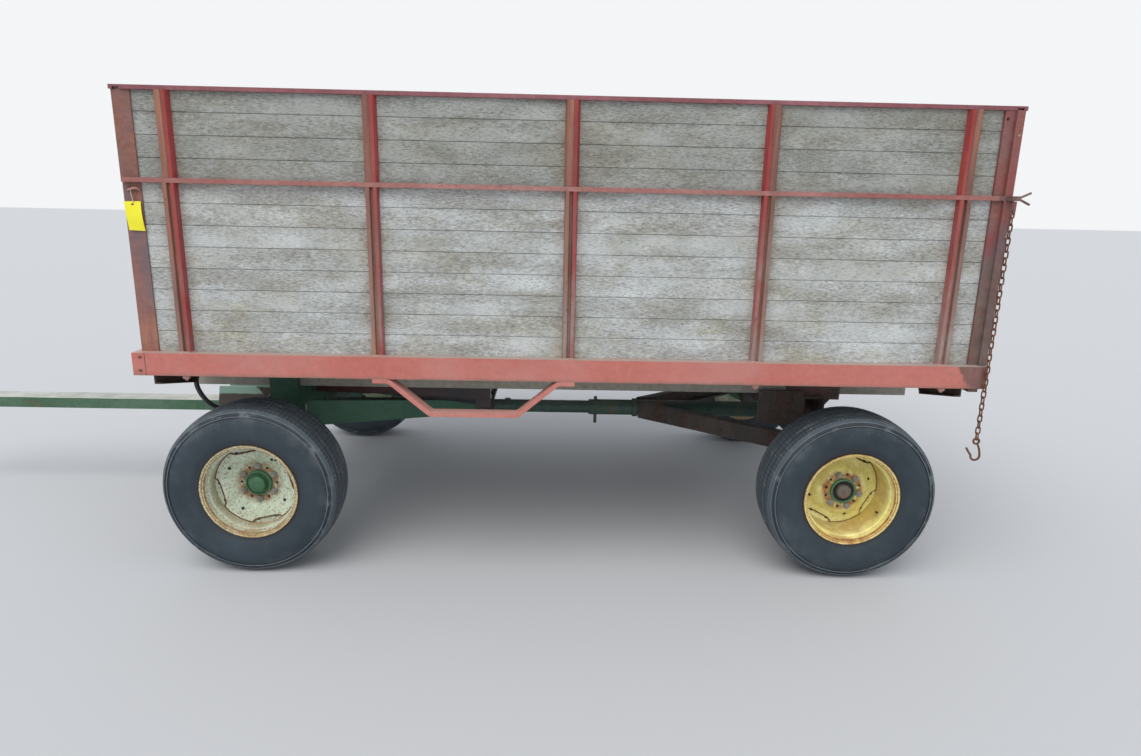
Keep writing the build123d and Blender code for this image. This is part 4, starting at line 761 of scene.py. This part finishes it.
def tyre_profile():
    """Closed (radius, y) outline of a tyre with ribs and grooves."""
    outer = [(r, -w) for r, w in SIDEWALL]
    for y0, y1 in RIBS:
        if y0 > RIBS[0][0]:
            outer.append((crown(y0) - GROOVE_DEPTH, y0 - 0.0012))
            outer.append((crown(y0) - 0.0012, y0 - 0.0002))
        for part in range(5):
            y = y0 + (y1 - y0) * part / 4
            outer.append((min(TYRE_MAX_R, crown(y)), y))
        if y1 < RIBS[-1][1]:
            outer.append((crown(y1) - 0.0012, y1 + 0.0002))
            outer.append((crown(y1) - GROOVE_DEPTH, y1 + 0.0012))
    return outer + [(r, w) for r, w in reversed(SIDEWALL)] + TYRE_INSIDE


def wheel_matrix(x, side, turn):
    """Places a wheel drawn about Y with its outer face at -Y."""
    flip = Matrix.Identity(4) if side < 0 else Matrix.Rotation(math.pi, 4, "Z")
    return Matrix.Translation((x, side * HALF_TRACK, HUB_Z)) @ flip @ Matrix.Rotation(turn, 4, "Y")


RIM_PROFILE = [
    # (radius, y): outer lip, step, bead seat, well, and back along the inner side
    (0.208, -0.104), (0.2092, -0.107), (0.2078, -0.1098), (0.204, -0.1098), (0.201, -0.108), (0.199, -0.103),
    (0.1972, -0.1008), (0.194, -0.1), (0.1928, -0.0975), (0.1905, -0.095), (0.189, -0.086), (0.187, -0.074),
    (0.1845, -0.0715), (0.1815, -0.069), (0.18, -0.056), (0.1785, -0.03), (0.178, 0.056), (0.18, 0.064),
    (0.1865, 0.072), (0.19, 0.093), (0.1965, 0.0985), (0.2005, 0.1065), (0.2035, 0.1095), (0.207, 0.1098),
    (0.209, 0.1075), (0.208, 0.104), (0.192, 0.102), (0.184, 0.062), (0.184, -0.062), (0.192, -0.102),
]

# Pressed discs: (share of the way from the hub hole to the edge, y)
DISC_OUT = (
    (0.0, 0.012), (0.12, 0.012), (0.27, 0.0115), (0.37, 0.009), (0.48, 0.0015), (0.58, -0.0075),
    (0.68, -0.0145), (0.8, -0.018), (0.92, -0.021), (1.0, -0.024),
)
DISC_IN = (
    (0.0, 0.004), (0.12, 0.004), (0.27, 0.005), (0.37, 0.01), (0.48, 0.024), (0.58, 0.04), (0.68, 0.05),
    (0.8, 0.053), (0.92, 0.056), (1.0, 0.059),
)
DISC_HOLE = 0.056
DISC_SHEET = 0.007
DISC_FLAT_R = 0.151
DISC_LOBE_R = 0.1765
BEAD_SEAT_R = 0.1925
LUG_RING = 0.076
LUG_START = 16.5  # degrees
LOST_NUT = ("rear_left", 3)
HOLE_RING = 0.135
SLOT_RING = 0.1625
SLOT = ((-0.0085, -0.0035), (0.0085, -0.0035), (0.01, 0.0), (0.008, 0.003), (-0.008, 0.003), (-0.01, 0.0))
STEM = ((0.179, -0.032), (0.17, -0.033), (0.164, -0.04), (0.161, -0.056))
STEM_TURN = {"green": -38, "capped": -358}  # degrees
OUTWARD = (0, -1, 0)


def disc_edge(turn):
    """Radius of the pressed disc's edge: four lobes against the rim, four flats with a slot outside."""
    phase = ((turn + math.pi / 4) % (math.pi / 2)) - math.pi / 4
    blend = min(1.0, max(0.0, (abs(phase) - 0.3) / 0.1))
    blend = blend * blend * (3 - 2 * blend)
    flat = DISC_FLAT_R / math.cos(phase)
    return flat + (DISC_LOBE_R - flat) * blend


def disc_mesh(rows, steps=144):
    """Pressed wheel disc, front face and back face, drawn about Y."""
    verts = []
    for step in range(steps):
        turn = 2 * math.pi * step / steps
        edge = disc_edge(turn)
        front = [(DISC_HOLE + (edge - DISC_HOLE) * share, y) for share, y in rows]
        back = [(r, y + DISC_SHEET) for r, y in reversed(front)]
        verts.extend(around(r, y, turn) for r, y in front + back)
    return verts, skin(steps, 2 * len(rows))


def hole_patch(r, sides=10, deep=0.0012):
    """A dark shallow plug that reads as a drilled hole: painted shade for the hole's inside."""
    return spun([(r, -0.002), (r, deep)], sides)


HUB_GREEN = [
    (0.0, 0.014), (0.0575, 0.014), (0.0578, 0.003), (0.0565, -0.002), (0.05, -0.003), (0.048, 0.004),
    (0.0375, 0.006), (0.0362, 0.0), (0.036, -0.014), (0.034, -0.02), (0.027, -0.0235), (0.014, -0.0252),
    (0.0, -0.0256),
]
HUB_CAPPED = [
    (0.0, 0.01), (0.057, 0.01), (0.0575, -0.004), (0.056, -0.008), (0.052, -0.01), (0.048, -0.009),
    (0.0465, 0.002), (0.033, 0.003), (0.0, 0.003),
]
DOME_CAP = [
    (0.0, 0.002), (0.032, 0.002), (0.0325, -0.01), (0.0315, -0.016), (0.028, -0.021), (0.0205, -0.0245),
    (0.01, -0.0256), (0.0, -0.0258),
]
CAP_GAP = [(0.0315, 0.0035), (0.047, 0.0025), (0.047, 0.001), (0.0315, 0.0015)]


def build_rim(name, body, place, look, end, rows):
    edge_y = rows[-1][1]
    flange = [
        (0.148, edge_y + 0.0075), (0.1795, edge_y + 0.0035), (0.1795, edge_y + 0.0075),
        (0.148, edge_y + 0.0115),
    ]
    rim = Lot()
    rim.take(lathe(RIM_PROFILE, 128), place)
    rim.take(disc_mesh(rows), place)
    rim.take(lathe(flange, 128), place)
    obj = rim.make(
        name + "_rim_pressed", look + "_" + end, body, "rim_paint", smooth=32, replaces=(name + "_rim",),
    )
    # the lip and bead seat carry the rustier colour
    obj.data.materials.append(MATERIALS[look + "_edge_" + end])
    back = place.inverted()
    for face in obj.data.polygons:
        local = back @ (face.center - Vector((SHIFT, 0, 0)))
        if math.hypot(local.x, local.z) > BEAD_SEAT_R and local.y < 0:
            face.material_index = 1
    turns = [2 * math.pi * step / 96 for step in range(96)]
    edge_line = [Vector(around(disc_edge(turn) + 0.0006, edge_y + 0.002, turn)) for turn in turns]
    bead = tube_along(edge_line, 0.0036, 6, closed=True)
    piece(name + "_disc_bead", bead, "rust", body, "rim_paint", matrix=place, smooth=60)


def build_hub(name, body, place, hub_kind, lug_y):
    lug_back = lug_y + DISC_SHEET
    hub_back = [
        (0.0905, lug_back), (0.0905, lug_back + 0.008), (0.053, lug_back + 0.01), (0.052, 0.1175),
        (0.026, 0.1178), (0.026, lug_back),
    ]
    hub = Lot()
    hub.take(lathe(HUB_GREEN if hub_kind == "green" else HUB_CAPPED, 48, closed=False), place)
    hub.take(lathe(hub_back, 48), place)
    hub.make(name + "_hub_turned", "hub", body, "hub_paint", smooth=40, replaces=(name + "_hub",))
    if hub_kind == "capped":
        piece(
            name + "_hub_cap", lathe(DOME_CAP, 40, closed=False), "cap_grey", body, "hub_paint", matrix=place,
        )
        # Painted shade: a dark ring in the gap between the cap and the hub.
        piece(name + "_cap_gap", lathe(CAP_GAP, 40), "hole", body, "hub_paint", matrix=place)


def disc_slot(y, turn):
    """Painted shade: a dark mark in place of a slot at the end of a lobe of the disc."""
    x, y, z = around(SLOT_RING, y, turn)
    cos, sin = math.cos(turn), math.sin(turn)
    corners = [(x - u * sin + v * cos, z + u * cos + v * sin) for u, v in SLOT]
    verts = [(a, y + lift, c) for lift in (-0.0012, 0.002) for a, c in corners]
    sides = [(i, (i + 1) % 6, 6 + (i + 1) % 6, 6 + i) for i in range(6)]
    return verts, [(0, 1, 2, 3, 4, 5), (11, 10, 9, 8, 7, 6)] + sides


def build_wheel(name, x, side, rim_look, hub_kind, turn):
    body = name + "_wheel"
    place = wheel_matrix(x, side, turn)
    end = end_of(x)
    rows = DISC_OUT if hub_kind == "green" else DISC_IN
    lug_y = rows[1][1]
    tyre = lathe(tyre_profile(), 128)
    piece(
        name + "_tyre_ribbed", tyre, "tyre_" + end, body, "tyre_rubber", matrix=place, smooth=38,
        replaces=(name + "_tyre",),
    )
    build_rim(name, body, place, rim_look, end, rows)
    build_hub(name, body, place, hub_kind, lug_y)
    bolts = Lot()
    holes = Lot()
    for k in range(6):
        angle = math.radians(60 * k + LUG_START)
        seat = place @ pose_to(around(LUG_RING, lug_y + 0.0004, angle), OUTWARD)
        if (name, k) == LOST_NUT:
            piece(
                name + "_lost_nut_rust", hole_patch(0.0165, 9, 0.0008), "orange", body, "rim_paint",
                matrix=seat,
            )
            holes.take(hole_patch(0.0075, 10, 0.0018), seat)
        else:
            bolts.take(nut(0.0145, 0.012), seat)
        between = around(LUG_RING, lug_y + 0.0004, angle + math.radians(30))
        holes.take(hole_patch(0.0062), place @ pose_to(between, OUTWARD))
    lean, lift = (-0.3, 0.0014) if hub_kind == "green" else (0.4, -0.0014)
    for k in range(4):
        angle = math.radians(90 * k + 45)
        spot = around(HOLE_RING, rows[6][1] + lift, angle)
        facing = around(lean, -1, angle)
        holes.take(hole_patch(0.008, 4, 0.003), place @ pose_to(spot, facing))
    for k in range(8):
        angle = math.radians(90 * (k // 2) + (16 if k % 2 else -16))
        holes.take(disc_slot(rows[-1][1] + 0.0045, angle), place)
    bolts.make(name + "_lug_nuts", "bolt", body, "hub_paint")
    holes.make(name + "_disc_holes", "hole", body, "rim_paint")
    stem = tube_along([Vector((r, y, 0)) for r, y in STEM], 0.0042, 8, axis=(0, 0, 1))
    stem_place = place @ Matrix.Rotation(math.radians(STEM_TURN[hub_kind]), 4, "Y")
    piece(name + "_valve", stem, "hose", body, "tyre_rubber", matrix=stem_place)


for wheel in WHEELS:
    build_wheel(*wheel)

# Hose
HOSE_ROUTE = [
    (-1.722, -0.6, 0.864), (-1.722, -0.6, 0.8), (-1.752, -0.6, 0.728), (-1.7, -0.596, 0.628),
    (-1.625, -0.566, 0.586), (-1.53, -0.496, 0.582), (-1.452, -0.424, 0.618), (-1.445, -0.4, 0.72),
    (-1.445, -0.4, 0.818),
]
HOSE_RADIUS = 0.011
HOSE_POINTS = [(x + SHIFT, y, z) for x, y, z in HOSE_ROUTE]
curve = bpy.data.curves.new("bed_hose", "CURVE")
curve.dimensions = "3D"
spline = curve.splines.new("NURBS")
spline.points.add(len(HOSE_POINTS) - 1)
for point, spot in zip(spline.points, HOSE_POINTS):
    point.co = (*spot, 1)
spline.order_u = 3
spline.use_endpoint_u = True
curve.bevel_depth = HOSE_RADIUS
curve.bevel_resolution = 5
curve.resolution_u = 12
curve.materials.append(MATERIALS["hose"])
hose = show("bed_hose", curve)
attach(hose, "bed")
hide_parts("hose")

# Chain with an S hook at its end
CHAIN = Vector((1.704, -1.114, 1.588))
LINKS = 36
LINK_STEP = 0.0257
LINK_BEND = 0.008
LINK_HALF = 0.0077
EYE_DROP = 0.0203
EYE_R = 0.012
HOOK_R = 0.019
LINK_WIRE_R = 0.003
HOOK_WIRE_R = 0.0045
chain = Lot()
oval = arc(0, 0, LINK_HALF, LINK_BEND, 0, 180, 8) + arc(0, 0, -LINK_HALF, LINK_BEND, 180, 180, 8)
for number in range(LINKS):
    matrix = Matrix.Translation(CHAIN - Vector((0, 0, number * LINK_STEP)))
    matrix = matrix @ Matrix.Rotation(math.radians(90 * (number % 2) + random.uniform(-9, 9)), 4, "Z")
    chain.take(tube_along(oval, LINK_WIRE_R, 8, closed=True), matrix)
eye_z = CHAIN.z - (LINKS - 1) * LINK_STEP - EYE_DROP
hook = arc(CHAIN.x, CHAIN.y, eye_z, EYE_R, -60, 335, 14)
hook.reverse()
hook.append(Vector((CHAIN.x + 0.017, CHAIN.y, eye_z - 0.034)))
hook += arc(CHAIN.x + 0.004, CHAIN.y, eye_z - 0.064, HOOK_R, 14, -200, 12)
hook.append(Vector((CHAIN.x - 0.027, CHAIN.y, eye_z - 0.046)))
hook.append(Vector((CHAIN.x - 0.038, CHAIN.y, eye_z - 0.03)))
chain.take(tube_along(hook, HOOK_WIRE_R, 8))
chain.make("corner_chain", "rust", "bed", "chain_steel", replaces=("gate_chain",))

# Bolts, nuts, welds and marks on the bed
marks = Lot()
for side, face in ((-1, SILL_FACE), (1, SILL_FACE - 0.0042)):
    for x, z in ((-1.7077, 0.9632), (-1.7104, 0.9088)):
        matrix = pose_to((x, side * face, z), (0, side, 0)) @ Matrix.Scale(0.6, 4, (0, 1, 0))
        marks.take(dome(0.0085, 0.004), matrix)
marks.make("sill_bolt_heads", "rust")

SEAM_X = -1.6903
SEAM_W = 0.0016
SEAM_STEP = 0.015
SEAM_SIDES = (-1.099, -1.1004)
SEAM_FACES = [(0, 1, 2, 3), (4, 7, 6, 5), (0, 4, 5, 1), (1, 5, 6, 2), (2, 6, 7, 3), (3, 7, 4, 0)]
seams = Lot()
for step in range(6):
    x0 = SEAM_X + 0.0004 * (step % 2)
    z0 = SILL_BOTTOM + 0.001 + SEAM_STEP * step
    corners = [(x0, z0), (x0 + SEAM_W, z0), (x0 + SEAM_W, z0 + SEAM_STEP), (x0, z0 + SEAM_STEP)]
    seams.take(([(x, y, z) for y in SEAM_SIDES for x, z in corners], SEAM_FACES))
seams.make("sill_seams", "hole", smooth=0)

ends = Lot()
for side in (-1, 1):
    for x in (-1.5396, 0.7708, 1.5424):
        ends.take(nut(0.015, 0.014), pose_to((x, side * 1.08, SILL_BOTTOM), (0, 0, -1)))
ends.make("sill_bolt_ends", "weld")

welds = Lot()
for side in (-1, 1):
    near = side * (WALL_Y + 0.004)
    far = side * (WALL_Y + STAKE_DEPTH + 0.001)
    for step in range(-2, 3):
        x = step * STAKE_PITCH
        outline = ((x - 0.029, near), (x - 0.023, far), (x + 0.023, far), (x + 0.029, near))
        points = [Vector((a, b, SILL_TOP)) for a, b in outline]
        line = []
        for a, b in zip(points, points[1:]):
            for k in range(8):
                line.append(a.lerp(b, k / 8) + Vector((0, 0, random.uniform(-0.0008, 0.0010))))
        line.append(points[-1])
        welds.take(tube_along(line, 0.0036, 6, axis=(0, 0, 1)))
welds.make("stake_welds", "weld", smooth=60)

holes = Lot()
for size, deep, spot in (
    (0.006, 0.001, (1.662, -1.062, 1.943)),
    (0.0045, 0.0008, (1.3206, -0.542, 0.71)),
    (0.0045, 0.0008, (1.3182, -0.542, 0.7327)),
):
    holes.take(hole_patch(size, 10, deep), pose_to(spot, OUTWARD))
holes.make("small_holes", "hole")

studs = Lot()
for size, tall, spot in ((0.006, 0.004, (1.7061, -1.076, 1.8809)), (0.005, 0.01, (1.7132, -1.076, 1.5013))):
    studs.take(dome(size, tall), pose_to(spot, OUTWARD))
studs.make("post_studs", "weld")

# Hook on the front left post, and the blank tag tied to it
POST_FACE = -1.056
CATCH = (
    # x, distance out from the post's face, z
    (-1.6995, 0.002, 1.6095), (-1.69, 0.009, 1.612), (-1.676, 0.01, 1.6165), (-1.664, 0.008, 1.617),
    (-1.657, 0.002, 1.611),
)
TIE = ((-1.688, 0.01, 1.608), (-1.6865, 0.011, 1.595), (-1.6845, 0.009, 1.58), (-1.6838, 0.006, 1.56))
TAG_Y = -1.06
TAG_TOP = (Vector((-1.7204, TAG_Y, 1.5668)), Vector((-1.6572, TAG_Y, 1.5681)))
TAG_FOOT = (Vector((-1.7097, TAG_Y - 0.004, 1.4584)), Vector((-1.6502, TAG_Y, 1.4558)))
TAG_ROWS = 8
TAG_COLUMNS = 4


def off_post(spots):
    return [Vector((x, POST_FACE - out, z)) for x, out, z in spots]


def tag_mesh():
    """A thin sheet that bulges outwards, more so at its rear edge."""
    verts = []
    for i in range(TAG_ROWS + 1):
        left, right = (top.lerp(foot, i / TAG_ROWS) for top, foot in zip(TAG_TOP, TAG_FOOT))
        for j in range(TAG_COLUMNS + 1):
            share = j / TAG_COLUMNS
            point = left.lerp(right, share)
            point.y -= 0.006 * math.sin(math.pi * i / TAG_ROWS) * (0.4 + 0.6 * share)
            verts.append(point)
    wide = TAG_COLUMNS + 1
    starts = [i * wide + j for i in range(TAG_ROWS) for j in range(TAG_COLUMNS)]
    faces = [(a, a + 1, a + wide + 1, a + wide) for a in starts]
    count = len(verts)
    verts += [v + Vector((0, 0.0012, 0)) for v in verts]
    faces += [tuple(count + k for k in reversed(face)) for face in faces]
    return verts, faces


piece("post_catch", tube_along(off_post(CATCH), 0.005, 8, axis=(0, 0, 1)), "weld", smooth=60)
piece("tag_tie", tube_along(off_post(TIE), 0.0013, 6), "tie", smooth=60)
piece("blank_tag", tag_mesh(), "tag", smooth=60)
piece(
    "tag_eyelet", hole_patch(0.0048, 12, 0.001), "rust",
    matrix=pose_to((-1.688, TAG_Y - 0.001, 1.5551), OUTWARD),
)

# Stage, light and camera
FLOOR_HALF = 60
FLOOR_COLOUR = (0.53, 0.53, 0.535, 1)
SKY_COLOUR = (0.86, 0.92, 1.0, 1)
SKY_STRENGTH = 0.9
BACKDROP_COLOUR = (0.9, 0.915, 0.93, 1)
BACKDROP_STRENGTH = 1.0
SUN_STRENGTH = 1.6
SUN_COLOUR = (1.0, 0.98, 0.95)
SUN_WIDTH = math.radians(50)
SUN_FROM = Vector((-0.25, -0.62, 1.0))

floor_mesh = bpy.data.meshes.new("floor_plane")
floor_corners = [(FLOOR_HALF * x, FLOOR_HALF * y, 0) for x, y in ((-1, -1), (1, -1), (1, 1), (-1, 1))]
floor_mesh.from_pydata(floor_corners, [], [(0, 1, 2, 3)])
floor_paint = Nodes("stage_floor", 0.9)
floor_paint.shader.inputs["Base Color"].default_value = FLOOR_COLOUR
floor_mesh.materials.append(floor_paint.material)
floor = show("stage_floor", floor_mesh)

# The sky lights the wagon. Camera, glossy and transmitted rays meet a plain backdrop instead.
world = bpy.data.worlds.new("sky")
scene.world = world
world.use_nodes = True
tree = world.node_tree
tree.nodes.clear()
output = tree.nodes.new("ShaderNodeOutputWorld")
light_path = tree.nodes.new("ShaderNodeLightPath")
mixer = tree.nodes.new("ShaderNodeMixShader")
tree.links.new(mixer.outputs[0], output.inputs["Surface"])
for socket, colour, strength in ((1, SKY_COLOUR, SKY_STRENGTH), (2, BACKDROP_COLOUR, BACKDROP_STRENGTH)):
    background = tree.nodes.new("ShaderNodeBackground")
    background.inputs["Color"].default_value = colour
    background.inputs["Strength"].default_value = strength
    tree.links.new(background.outputs[0], mixer.inputs[socket])
seen = light_path.outputs["Is Camera Ray"]
for ray in ("Is Glossy Ray", "Is Transmission Ray"):
    either = tree.nodes.new("ShaderNodeMath")
    either.operation = "MAXIMUM"
    tree.links.new(seen, either.inputs[0])
    tree.links.new(light_path.outputs[ray], either.inputs[1])
    seen = either.outputs[0]
tree.links.new(seen, mixer.inputs["Fac"])

sun_data = bpy.data.lights.new("soft_sun", "SUN")
sun_data.energy = SUN_STRENGTH
sun_data.angle = SUN_WIDTH
sun_data.color = SUN_COLOUR
sun = show("soft_sun", sun_data)
sun.rotation_euler = SUN_FROM.to_track_quat("Z", "Y").to_euler()

# Camera solved from the photograph: its place in metres, its turns, and its focal length in pixels
PHOTO_WIDTH = 1141
FOCAL_PIXELS = 737.08
SENSOR_WIDTH = 36.0
CAMERA_PLACE = (SHIFT - 0.0523, -4.003, 1.6086)
YAW = math.radians(1.2503)
PITCH = math.radians(13.6)
ROLL = math.radians(1.2348)
forward = Vector((math.sin(YAW), math.cos(YAW), 0))
right = Vector((math.cos(YAW), -math.sin(YAW), 0))
up = Vector((0, 0, 1))
ahead = forward * math.cos(PITCH) - up * math.sin(PITCH)
above = up * math.cos(PITCH) + forward * math.sin(PITCH)
rolled_right = right * math.cos(ROLL) + above * math.sin(ROLL)
rolled_up = above * math.cos(ROLL) - right * math.sin(ROLL)
camera_data = bpy.data.cameras.new("camera")
camera_data.sensor_fit = "HORIZONTAL"
camera_data.sensor_width = SENSOR_WIDTH
camera_data.lens = SENSOR_WIDTH * FOCAL_PIXELS / PHOTO_WIDTH
camera_data.clip_end = 200
camera = show("camera", camera_data)
rotation = Matrix((rolled_right, rolled_up, -ahead)).transposed().to_4x4()
camera.matrix_world = Matrix.Translation(CAMERA_PLACE) @ rotation
scene.camera = camera
scene.view_settings.view_transform = "Standard"
